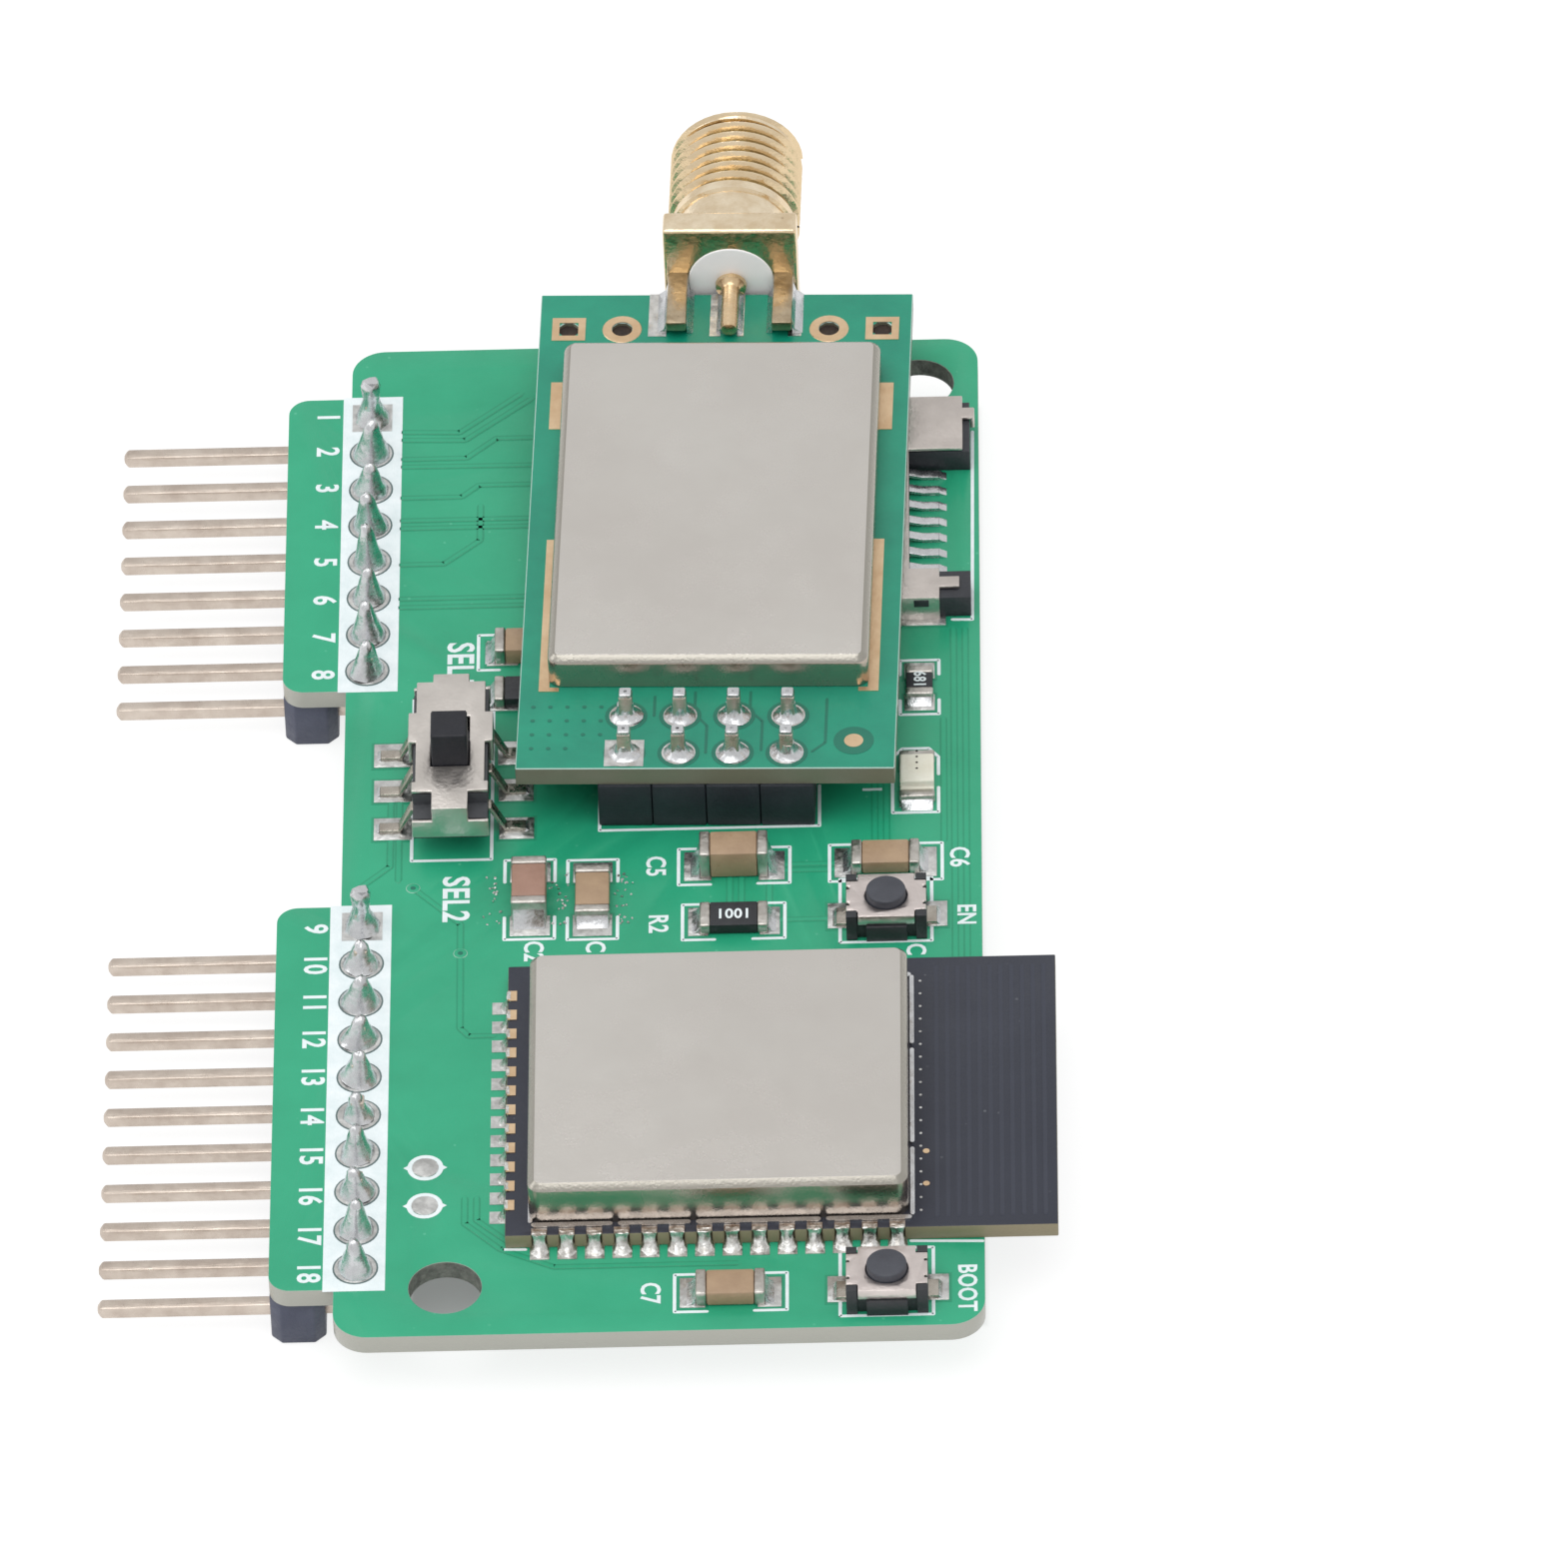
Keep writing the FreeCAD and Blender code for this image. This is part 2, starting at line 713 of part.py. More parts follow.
JACK_Y = f"{RADIO_FAR} + jack_gap"
JACK_Z = f"{RADIO_TOP} + jack_axis_rise"
BARREL = "jack_flange_thickness + jack_neck_length + jack_thread_length"
ON_AXIS = ("jack_x", JACK_Y, JACK_Z)
ON_FACE = ("jack_x", JACK_Z, f"-({JACK_Y})")

jack = Piece("coax_jack_body", RADIO)
jack.turn(jack.sketch([[
    ("dielectric_radius", "0"), ("jack_neck_radius", "0"),
    ("jack_neck_radius", "jack_flange_thickness + jack_neck_length"),
    ("jack_thread_radius", "jack_flange_thickness + jack_neck_length"),
    ("jack_thread_radius", f"{BARREL} - jack_lead_in"),
    ("jack_thread_radius - jack_lead_in", BARREL), ("dielectric_radius", BARREL),
]], shift=ON_AXIS))
flange = jack.sketch(
    [octagon("0", "0", "jack_flange", "jack_flange_corner")],
    circles=[("0", "0", "dielectric_radius * 2")], plane="XZ_Plane", shift=ON_FACE,
)
jack.pad(flange, "jack_flange_thickness", flip=True)
leg_low = "-jack_axis_rise"
under = "-jack_axis_rise - radio_thickness"
legs = [
    box_outline(f"{side} * jack_leg_spread / 2 - jack_leg_width / 2", low,
                f"{side} * jack_leg_spread / 2 + jack_leg_width / 2", high)
    for side in (-1, 1)
    for low, high in ((leg_low, f"{leg_low} + jack_leg_height"), (f"{under} - jack_leg_height", under))
]
jack.pad(jack.sketch(legs, plane="XZ_Plane", shift=ON_FACE), "jack_leg_length")
insulator = Piece("coax_jack_insulator", RADIO)
insulator.turn(insulator.sketch([[
    ("contact_radius", "0"), ("dielectric_radius", "0"),
    ("dielectric_radius", f"{BARREL} - dielectric_recess"), ("contact_radius", f"{BARREL} - dielectric_recess"),
]], shift=ON_AXIS))

contact = Piece("coax_jack_contact", RADIO)
mouth = f"{BARREL} - dielectric_recess"
contact.turn(contact.sketch([[
    ("0", "-contact_tail"), ("contact_tail_radius", "-contact_tail"),
    ("contact_tail_radius", "-contact_shoulder"), ("contact_radius", "-contact_shoulder * 0.6"),
    ("contact_radius", mouth), ("contact_bore", mouth),
    ("contact_bore", f"{mouth} - contact_bore_depth"), ("0", f"{mouth} - contact_bore_depth"),
]], shift=ON_AXIS))
beads = Piece("coax_jack_beads", RADIO)
AT_EDGE = ("jack_x", JACK_Z, f"-({JACK_Y} - jack_gap)")
for level, up in ((leg_low, "+"), (under, "-")):
    for side in (-1, 1):
        for out, share in ((side, 1.0), (-side, 0.6)):
            edge_x = f"{side} * jack_leg_spread / 2 + {out} * jack_leg_width / 2"
            bead = [(edge_x, level), (f"{edge_x} + {out} * fillet_toe * {share}", level),
                    (f"{edge_x} + {out} * fillet_toe * {share * 0.25}", f"{level} {up} jack_leg_height * 0.3"),
                    (edge_x, f"{level} {up} jack_leg_height * 0.8")]
            beads.pad(beads.sketch([bead], plane="XZ_Plane", shift=AT_EDGE), "jack_leg_length - jack_gap")
tail_bead = [("-contact_tail_radius * 1.6", leg_low), ("contact_tail_radius * 1.6", leg_low),
             ("contact_tail_radius * 0.9", "-contact_tail_radius * 0.3"),
             ("-contact_tail_radius * 0.9", "-contact_tail_radius * 0.3")]
beads.pad(beads.sketch([tail_bead], plane="XZ_Plane", shift=AT_EDGE), "contact_tail - jack_gap * 1.5")
cut("coax_jack_solder", beads.body, contact.body)


# Wireless module: board with half-round edge contacts, can, chips and solder joints

module = Piece("wifi_module_board", MODULE)
module.pad(module.sketch([rectangle("0", "0", "module_length", "module_width")]), "module_thickness")
FRONT_X = "-module_length / 2 + edge_front_start"
SIDE_Y = "-edge_pitch * (edge_side_count - 1) / 2"
ends = module.sketch([regular(FRONT_X, f"{side} * module_width / 2", "edge_hole") for side in (-1, 1)])
module.row([module.pocket(ends)], "X_Axis", "edge_front_count", "edge_pitch")
side_hole = module.sketch([regular("-module_length / 2", SIDE_Y, "edge_hole")])
module.row([module.pocket(side_hole)], "Y_Axis", "edge_side_count", "edge_pitch")

shield_can("wifi_module_shield", MODULE, "module_can_x", "module_can_y", "module_can_length", "module_can_width",
           "module_thickness", "module_can_height")
chip("wifi_processor", MODULE, "processor_x", "0", "processor_size", "processor_size", "module_thickness",
     "processor_height")
chip("wifi_flash", MODULE, "flash_x", "0", "flash_length", "flash_width", "module_thickness", "flash_height")
chip("wifi_crystal", MODULE, "processor_x", "module_crystal_y", "crystal_length", "crystal_width",
     "module_thickness", "crystal_height")

joints = Piece("wifi_module_solder", MODULE)


def joint_profile(edge, out):
    """Side view of one solder joint leaning on an edge; out is -1 or 1."""
    return [
        (edge, "0"), (f"{edge} + {out} * joint_toe", "0"), (f"{edge} + {out} * joint_toe * 0.6", "joint_height * 0.35"),
        (edge, "joint_height"),
    ]


for side in (-1, 1):
    profile = joints.sketch([joint_profile(f"{side} * module_width / 2", side)], plane="YZ_Plane",
                            shift=("0", "0", FRONT_X))
    joints.row([joints.pad(profile, "joint_width", centred=True)], "X_Axis", "edge_front_count", "edge_pitch")
profile = joints.sketch([joint_profile("-module_length / 2", -1)], plane="XZ_Plane", shift=("0", "0", f"-({SIDE_Y})"))
joints.row([joints.pad(profile, "joint_width", centred=True)], "Y_Axis", "edge_side_count", "edge_pitch")


# Slide switch: raised on six bent leads; the knob's foot runs in the base under the cover

SEAT = "switch_stand"
LID = "switch_top - cover_sheet"
leads = Piece("switch_leads", SWITCH)
floor_top = f"{SEAT} + switch_floor"
outside = "switch_width / 2"


def lead_profile(side):
    """A bent lead seen along Y: contact strip in the floor, slope outside, flat foot."""
    knee = f"{side} * ({outside} + 0.15)"
    heel = f"{side} * ({outside} + lead_slope)"
    toe = f"{side} * ({outside} + lead_slope + lead_foot)"
    inner = f"{side} * 0.35"
    return [
        (inner, floor_top), (knee, floor_top), (f"{heel} + {side} * lead_sheet", "chip_seat + lead_sheet"),
        (toe, "chip_seat + lead_sheet"), (toe, "chip_seat"), (heel, "chip_seat"),
        (f"{knee} - {side} * lead_sheet", f"{floor_top} - lead_sheet"), (inner, f"{floor_top} - lead_sheet"),
    ]


for side in (-1, 1):
    profile = leads.sketch([lead_profile(side)], plane="XZ_Plane", shift=("0", "0", "lead_pitch"))
    leads.row([leads.pad(profile, "lead_width", centred=True)], "Y_Axis", "3", "lead_pitch")

foot_joints = Piece("switch_solder", SWITCH)
for side in (-1, 1):
    heel = f"{side} * ({outside} + lead_slope)"
    toe = f"{side} * ({outside} + lead_slope + lead_foot)"
    wedge = [
        (heel, "0"), (f"{toe} + {side} * fillet_toe * 0.6", "0"), (toe, "chip_seat + lead_sheet"),
        (toe, "chip_seat"), (heel, "chip_seat"),
    ]
    sketch = foot_joints.sketch([wedge], plane="XZ_Plane", shift=("0", "0", "lead_pitch"))
    foot_joints.row([foot_joints.pad(sketch, "lead_width", centred=True)], "Y_Axis", "3", "lead_pitch")

housing = Piece("switch_housing", SWITCH)
housing.pad(
    housing.sketch([rectangle("0", "0", "switch_width", "switch_length")], shift=("0", "0", SEAT)),
    f"{LID} - {SEAT} - slide_gap",
)
well = housing.sketch(
    [rectangle("0", "0", "switch_width - 2 * switch_wall", "switch_length - 2 * switch_shoulder - 2 * switch_wall")],
    shift=("0", "0", floor_top),
)
housing.pocket(well, "switch_top", flip=True)
ledges = housing.sketch(
    [rectangle("0", f"{side} * (switch_length - switch_shoulder) / 2", "switch_width", "switch_shoulder")
     for side in (-1, 1)],
    shift=("0", "0", "switch_top - cover_drop"),
)
housing.pocket(ledges, "switch_top", flip=True)
cut("switch_base", housing.body, leads.body)

knob = Piece("switch_knob", SWITCH)
foot_base = f"{floor_top} + slide_gap + clip_height"
foot = knob.sketch([rectangle("0", "knob_rest", "knob_foot_width", "knob_foot_length")], shift=("0", "0", foot_base))
knob.pad(foot, f"{LID} - slide_gap - ({foot_base})")
stem = knob.sketch([rectangle("0", "knob_rest", "knob_width", "knob_length")], shift=("0", "0", foot_base))
stem_pad = knob.pad(stem, f"switch_top + knob_rise - ({foot_base})")
knob.ease(stem_pad, "knob_play * 2", at_top)

clips = Piece("switch_contacts", SWITCH)
clip_pads = [
    rectangle(f"{side} * (knob_foot_width / 2 - clip_width)", "knob_rest", "clip_width", "clip_length")
    for side in (-1, 1)
]
strip = clips.sketch(clip_pads, shift=("0", "0", f"{floor_top} + slide_gap"))
strip_pad = clips.pad(strip, "clip_height")
clips.ease(strip_pad, "clip_height * 0.6",
           lambda edge, shape: edge.BoundBox.XLength > TINY and edge.BoundBox.YLength < TINY
           and edge.BoundBox.ZMax < shape.BoundBox.ZMin + TINY, kind="Chamfer")

cover = Piece("switch_cover", SWITCH)
strap_y = "switch_length / 2 + slide_gap"
plates = [
    box_outline("-cover_width / 2", "-cover_front", "cover_width / 2", "cover_rear"),
    box_outline("-cover_wing_width / 2", "-cover_front", "cover_wing_width / 2", "-cover_front + cover_wing_length"),
    box_outline("-cover_tab_width / 2", f"-({strap_y}) - cover_sheet", "cover_tab_width / 2", f"{strap_y} + cover_sheet"),
]
for side in (-1, 1):
    plates.append(box_outline(
        f"{side} * cover_width / 4", "cover_clip_y - cover_clip_width / 2",
        f"{side} * (switch_width / 2 + slide_gap + cover_sheet)", "cover_clip_y + cover_clip_width / 2",
    ))
for plate_outline in plates:
    cover.pad(cover.sketch([plate_outline], shift=("0", "0", LID)), "cover_sheet")
for side in (-1, 1):
    wall_y = f"{side} * ({strap_y} + cover_sheet / 2)"
    strap = cover.sketch([rectangle("0", wall_y, "cover_tab_width", "cover_sheet")],
                         shift=("0", "0", "switch_top - cover_drop"))
    cover.pad(strap, "cover_drop")
    band = cover.sketch([rectangle("0", wall_y, "cover_wing_width", "cover_sheet")],
                        shift=("0", "0", "switch_top - cover_drop - cover_band"))
    cover.pad(band, "cover_band")
    hook_x = f"{side} * (switch_width / 2 + slide_gap + cover_sheet / 2)"
    hook = cover.sketch([rectangle(hook_x, "cover_clip_y", "cover_sheet", "cover_clip_width")],
                        shift=("0", "0", "switch_top - cover_drop - cover_band / 2"))
    cover.pad(hook, "cover_drop + cover_band / 2")
window = cover.sketch(
    [rectangle("0", "knob_rest + knob_travel / 2", "knob_width + 2 * knob_play",
               "knob_length + knob_travel + 2 * knob_play")], shift=("0", "0", LID),
)
cover.pocket(window, "cover_sheet", flip=True)


# Push buttons: base with corner posts, pressed cover, plunger, snap dome, two terminals

def push_button(name, frame):
    """One button, built about its own centre on the carrier's top face."""
    lid = "button_height - button_sheet"
    posts_x = "button_length / 2 - button_post_x / 2"
    posts_y = "button_width / 2 - button_post_y / 2"
    corners = [(f"{side_x} * ({posts_x})", f"{side_y} * ({posts_y})") for side_x in (-1, 1) for side_y in (-1, 1)]

    body_width = "button_width - 2 * (button_sheet + slide_gap)"
    floor = "chip_seat + terminal_sheet"
    end = "button_length / 2 + terminal_reach"

    strips = Piece(f"{name}_terminals", frame)
    reach = [box_outline(f"{side} * dome_radius * 0.55", "-terminal_width / 2", f"{side} * ({end})",
                         "terminal_width / 2") for side in (-1, 1)]
    strips.pad(strips.sketch(reach, shift=("0", "0", "chip_seat")), "terminal_sheet")

    beads = Piece(f"{name}_solder", frame)
    beads.pad(beads.sketch([box_outline(
        f"{side} * button_length / 2", "-terminal_width / 2", f"{side} * ({end})", "terminal_width / 2")
        for side in (-1, 1)]), "chip_seat")
    for side in (-1, 1):
        wedge = [(f"{side} * ({end})", "0"), (f"{side} * ({end} + fillet_toe)", "0"),
                 (f"{side} * ({end} + fillet_toe * 0.4)", "terminal_sheet * 0.5"), (f"{side} * ({end})", floor)]
        beads.pad(beads.sketch([wedge], plane="XZ_Plane"), "terminal_width", centred=True)

    shell = Piece(f"{name}_housing", frame)
    shell.pad(shell.sketch([rectangle("0", "0", "button_length", body_width)]), f"{lid} - slide_gap")
    nose = rectangle("0", "0", "button_nose_length", "button_width + 2 * button_nose_depth")
    shell.pad(shell.sketch([nose]), "button_nose_height")
    tops = [rectangle(x, y, "button_post_x", "button_post_y") for x, y in corners]
    shell.pad(shell.sketch(tops), "button_height")
    well = [("0", "0", "2 * (plunger_radius + plunger_collar + plunger_play)")]
    shell.pocket(shell.sketch(circles=well, shift=("0", "0", floor)), "button_height", flip=True)
    cut(f"{name}_base", shell.body, strips.body)

    cover = Piece(f"{name}_cover", frame)
    plate = cover.sketch([rectangle("0", "0", "button_length", "button_width")], shift=("0", "0", lid))
    cover.pad(plate, "button_sheet")
    skirts = [rectangle("0", f"{side} * (button_width - button_sheet) / 2",
                        "button_length - 2 * (button_post_x + slide_gap)", "button_sheet") for side in (-1, 1)]
    cover.pad(cover.sketch(skirts, shift=("0", "0", "button_height - button_skirt")), "button_skirt")
    opening = cover.sketch(circles=[("0", "0", "2 * (plunger_radius + plunger_play)")], shift=("0", "0", lid))
    cover.pocket(opening, "button_sheet", flip=True)
    relief = [rectangle(x, y, "button_post_x + 2 * slide_gap", "button_post_y + 2 * slide_gap") for x, y in corners]
    cover.pocket(cover.sketch(relief, shift=("0", "0", lid)), "button_sheet", flip=True)
    notches = [rectangle(f"{side_x} * button_length / 2", f"{side_y} * button_notch_y", "button_notch * 2",
                         "button_notch") for side_x in (-1, 1) for side_y in (-1, 1)]
    cover.pocket(cover.sketch(notches, shift=("0", "0", lid)), "button_sheet", flip=True)

    plunger = Piece(f"{name}_plunger", frame)
    collar_top = f"{lid} - slide_gap"
    under = f"{collar_top} - plunger_collar_height"
    nub = f"{floor} + dome_rise + dome_sheet + slide_gap"
    crown = "button_height + plunger_rise"
    plunger.turn(plunger.sketch([[
        ("0", nub), ("plunger_nub_radius", nub), ("plunger_nub_radius", under),
        ("plunger_radius + plunger_collar", under), ("plunger_radius + plunger_collar", collar_top),
        ("plunger_radius", collar_top), ("plunger_radius", crown), ("0", crown),
    ]], plane="XZ_Plane"))

    dome = Piece(f"{name}_dome", frame)
    dome.turn(dome.sketch([[
        ("0", f"{floor} + dome_rise"), ("dome_radius", floor),
        ("dome_radius", f"{floor} + dome_sheet"), ("0", f"{floor} + dome_rise + dome_sheet"),
    ]], plane="XZ_Plane"))


push_button("enable_button", ENABLE)
push_button("boot_button", BOOT)


# Card socket: the card enters towards +X under the radio board; tails and hooks show at its rear

REAR = "socket_depth / 2"
LOW = "-socket_width / 2 + socket_sheet + slide_gap"
HIGH = "socket_width / 2 - socket_sheet - slide_gap"
RECESS_LOW = "-socket_width / 2 + socket_recess_low"
RECESS_HIGH = "socket_width / 2 - socket_recess_high"
RECESS_X = "socket_depth / 2 - socket_recess"
LATCH_TOP = "socket_height - socket_sheet"
CARD_LOW = "card_offset - card_width / 2"
CARD_HIGH = "card_offset + card_width / 2"

tails = Piece("card_socket_contacts", SOCKET)
strip_start = "-socket_depth / 2 + contact_start"
tail = tails.sketch([[
    (strip_start, "socket_floor"), (RECESS_X, "socket_floor"),
    (f"{RECESS_X} + tail_reach * 0.45", "chip_seat + tail_sheet"), (f"{RECESS_X} + tail_reach", "chip_seat + tail_sheet"),
    (f"{RECESS_X} + tail_reach", "chip_seat"), (f"{RECESS_X} + tail_reach * 0.4", "chip_seat"),
    (f"{RECESS_X} - tail_sheet", "socket_floor - tail_sheet"), (strip_start, "socket_floor - tail_sheet"),
]], plane="XZ_Plane", shift=("0", "0", "-tail_low_y"))
tails.row([tails.pad(tail, "tail_width", centred=True)], "Y_Axis", "tail_count", "tail_pitch")

tail_joints = Piece("card_socket_solder", SOCKET)
toe = tail_joints.sketch([[
    (f"{RECESS_X} + tail_reach * 0.4", "0"), (f"{RECESS_X} + tail_reach + fillet_toe", "0"),
    (f"{RECESS_X} + tail_reach + fillet_toe * 0.4", "tail_sheet * 0.6"),
    (f"{RECESS_X} + tail_reach", "chip_seat + tail_sheet"), (f"{RECESS_X} + tail_reach", "chip_seat"),
    (f"{RECESS_X} + tail_reach * 0.4", "chip_seat"),
]], plane="XZ_Plane", shift=("0", "0", "-tail_low_y"))
tail_joints.row([tail_joints.pad(toe, "tail_width", centred=True)], "Y_Axis", "tail_count", "tail_pitch")

frame_body = Piece("card_socket_frame", SOCKET)
frame_body.pad(frame_body.sketch([[
    (f"-({REAR})", LOW), (REAR, LOW), (REAR, RECESS_LOW), (RECESS_X, RECESS_LOW),
    (RECESS_X, RECESS_HIGH), (REAR, RECESS_HIGH), (REAR, HIGH), (f"-({REAR})", HIGH),
]]), f"{LATCH_TOP} - slide_gap")
channel = box_outline(f"-({REAR})", CARD_LOW, f"{RECESS_X} - socket_rear_wall", CARD_HIGH)
frame_body.pocket(frame_body.sketch([channel], shift=("0", "0", "socket_floor")), "socket_height", flip=True)
track = box_outline("-sled_length", CARD_HIGH, "spring_length", f"{CARD_HIGH} + sled_width + sled_play")
frame_body.pocket(frame_body.sketch([track], shift=("0", "0", "socket_floor")), "socket_height", flip=True)
cut("card_socket_base", frame_body.body, tails.body)

sled = Piece("card_socket_sled", SOCKET)
sled_y = f"{CARD_HIGH} + sled_width / 2 + sled_play / 2"
sled_level = ("0", "0", "socket_floor + sled_play")
sled.pad(sled.sketch([rectangle("-sled_length / 2", sled_y, "sled_length - 2 * sled_play", "sled_width - sled_play")],
                     shift=sled_level), "sled_height")
sled.pad(sled.sketch([box_outline("-sled_lug_length", f"{CARD_HIGH} - sled_lug_reach", "-sled_play * 2",
                                  f"{CARD_HIGH} + sled_play * 2")], shift=sled_level), "sled_height")

def spring_corner(index):
    """One corner of the spring's path, eight to a turn, about an axis along +X."""
    angle = 45.0 * index
    run = SIZES["spring_length"] - SIZES["spring_wire"] - SIZES["sled_play"]
    turned = FreeCAD.Rotation(FreeCAD.Vector(1, 0, 0), angle).multVec(FreeCAD.Vector(0, SIZES["spring_radius"], 0))
    return FreeCAD.Vector(run * index / (8 * SIZES["spring_turns"]), 0, 0) + turned


corners = [spring_corner(index) for index in range(int(8 * SIZES["spring_turns"]) + 1)]
half_wire = SIZES["spring_wire"] / 2
along = corners[1] - corners[0]
side_way = FreeCAD.Vector(0, 1, 0).cross(along).normalize() * half_wire
out_way = FreeCAD.Vector(0, 1, 0) * half_wire
section = Part.makePolygon([
    corners[0] + side_way + out_way, corners[0] + side_way - out_way,
    corners[0] - side_way - out_way, corners[0] - side_way + out_way, corners[0] + side_way + out_way,
])
spring = doc.addObject("Part::Feature", "card_socket_spring")
spring.Label = "card_socket_spring"
spring.Shape = Part.makePolygon(corners).makePipeShell([section], True, True, 1)
spring_x = "socket_x + spring_wire / 2"
spring_y = f"socket_y + {CARD_HIGH} + sled_width / 2 + sled_play / 2"
spring_z = "board_thickness + socket_floor + sled_play + spring_radius + spring_wire / 2"
seat(spring, (spring_x, spring_y, spring_z, "0"))

shell = Piece("card_socket_shell", SOCKET)
NEAR_END = "socket_depth / 2 - socket_near_gap"
FAR_END = "socket_depth / 2 - socket_far_gap"
shell.pad(shell.sketch([[
    (f"-({REAR})", "-socket_width / 2"), (NEAR_END, "-socket_width / 2"), (NEAR_END, RECESS_LOW),
    (RECESS_X, RECESS_LOW), (RECESS_X, RECESS_HIGH), (FAR_END, RECESS_HIGH), (FAR_END, "socket_width / 2"),
    (f"-({REAR})", "socket_width / 2"),
]], shift=("0", "0", LATCH_TOP)), "socket_sheet")
for side, end in ((-1, NEAR_END), (1, FAR_END)):
    wall = box_outline(f"-({REAR})", f"{side} * socket_width / 2", end, f"{side} * (socket_width / 2 - socket_sheet)")
    shell.pad(shell.sketch([wall]), "socket_height")
near_hook = box_outline(f"{NEAR_END} - hook_reach", f"{RECESS_LOW} - hook_offset - hook_width",
                        f"{NEAR_END} + hook_reach", f"{RECESS_LOW} - hook_offset")
far_hook = box_outline(f"{FAR_END} - hook_reach", f"{HIGH} - hook_offset - hook_width",
                       f"{REAR} + slide_gap + socket_sheet", f"{HIGH} - hook_offset")
shell.pad(shell.sketch([near_hook, far_hook], shift=("0", "0", LATCH_TOP)), "socket_sheet")
bend = box_outline(f"{REAR} + slide_gap", f"{HIGH} - hook_offset - hook_width",
                   f"{REAR} + slide_gap + socket_sheet", f"{HIGH} - hook_offset")
shell.pad(shell.sketch([bend], shift=("0", "0", "socket_height / 2")), "socket_height / 2")


# Chip parts: a ceramic or film body between two end caps, on two solder fillets

ceramics = Piece("capacitor_ceramics")
dark_ceramic = Piece("capacitor_c2_ceramic")
resistors = Piece("resistor_bodies")
end_caps = Piece("chip_end_caps")
fillets = Piece("chip_solder")


def chip_part(body, x, y, along, length, width, height):
    """One two-ended chip lying along X or Y at (x, y) on the carrier."""
    base = "board_thickness + chip_seat"

    def spot(run, across, size_run, size_across):
        if along == "X":
            return rectangle(f"{x} + ({run})", f"{y} + ({across})", size_run, size_across)
        return rectangle(f"{x} + ({across})", f"{y} + ({run})", size_across, size_run)

    middle = body.sketch([spot("0", "0", f"{length} - 2 * end_cap", width)], shift=("0", "0", base))
    body.pad(middle, height)
    for side in (-1, 1):
        run = f"{side} * ({length} - end_cap) / 2"
        cap = end_caps.sketch([spot(run, "0", "end_cap", f"{width} + 2 * cap_swell")],
                              shift=("0", "0", "board_thickness"))
        end_caps.pad(cap, f"{height} + chip_seat + cap_swell")
        reach = f"{side} * {length} / 2"
        toe = f"{side} * ({length} / 2 + fillet_toe)"
        centre = x if along == "X" else y
        level = "board_thickness"
        slope = [
            (f"{centre} + ({reach})", level), (f"{centre} + ({toe})", level),
            (f"{centre} + {side} * ({length} / 2 + fillet_toe * 0.4)", f"{level} + {height} * fillet_rise * 0.3"),
            (f"{centre} + ({reach})", f"{level} + {height} * fillet_rise"),
        ]
        plane = "XZ_Plane" if along == "X" else "YZ_Plane"
        shift = f"-({y})" if along == "X" else x
        fillets.pad(fillets.sketch([slope], plane=plane, shift=("0", "0", shift)), f"{width} * 0.95", centred=True)


for name, along, body in (
    ("c1", "Y", ceramics), ("c5", "X", ceramics), ("c6", "X", ceramics), ("c7", "X", ceramics),
    ("c3", "X", ceramics), ("c2", "Y", dark_ceramic), ("c4", "X", resistors), ("r2", "X", resistors),
):
    chip_part(body, f"{name}_x", f"{name}_y", along, "large_length", "large_width", f"{name}_height")
chip_part(resistors, "r1_x", "r1_y", "Y", "small_length", "small_width", "r1_height")

led = Piece("status_led")
chip_part(led, "led_x", "led_y", "Y", "large_length", "large_width", "led_base")
lens = led.pad(
    led.sketch([rectangle("led_x", "led_y", "large_width", "led_lens_length")],
               shift=("0", "0", "board_thickness + chip_seat")), "led_base + led_lens",
)
led.ease(lens, "chip_seat * 3", at_top)


# Build, test and write every node

NODES = [
    "carrier_board",
    "header_a_block", "header_a_pins", "header_a_solder",
    "header_b_block", "header_b_pins", "header_b_solder",
    "radio_board", "radio_header_block", "radio_header_pins", "radio_header_solder", "radio_header_solder_below",
    "radio_shield", "radio_chip", "radio_amplifier", "radio_crystal",
    "coax_jack_body", "coax_jack_insulator", "coax_jack_contact", "coax_jack_solder",
    "wifi_module_board", "wifi_module_shield", "wifi_processor", "wifi_flash", "wifi_crystal", "wifi_module_solder",
    "switch_base", "switch_cover", "switch_knob", "switch_contacts", "switch_leads", "switch_solder",
    "enable_button_base", "enable_button_cover", "enable_button_plunger", "enable_button_dome",
    "enable_button_terminals", "enable_button_solder",
    "boot_button_base", "boot_button_cover", "boot_button_plunger", "boot_button_dome", "boot_button_terminals",
    "boot_button_solder",
    "card_socket_base", "card_socket_shell", "card_socket_contacts", "card_socket_solder", "card_socket_sled",
    "card_socket_spring",
    "capacitor_ceramics", "capacitor_c2_ceramic", "resistor_bodies", "chip_end_caps", "chip_solder", "status_led",
]

doc.recompute()
for item in doc.Objects:
    bad = [word for word in item.State if word in ("Invalid", "Error")]
    if bad:
        raise RuntimeError(f"{item.Label} is {bad}")
os.makedirs("parts", exist_ok=True)
for node in NODES:
    shape = doc.getObjectsByLabel(node)[0].Shape
    if shape.isNull() or not shape.isValid() or not shape.Solids:
        raise RuntimeError(f"{node} has no valid solid")
    shape.exportStep(f"parts/{node}.step")
    print(f"{node}: {len(shape.Solids)} solids, {shape.Volume:.2f} mm3")
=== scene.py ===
import json
import logging
import math
import random
from dataclasses import dataclass
from enum import Enum

import bpy
from mathutils import Matrix, Vector

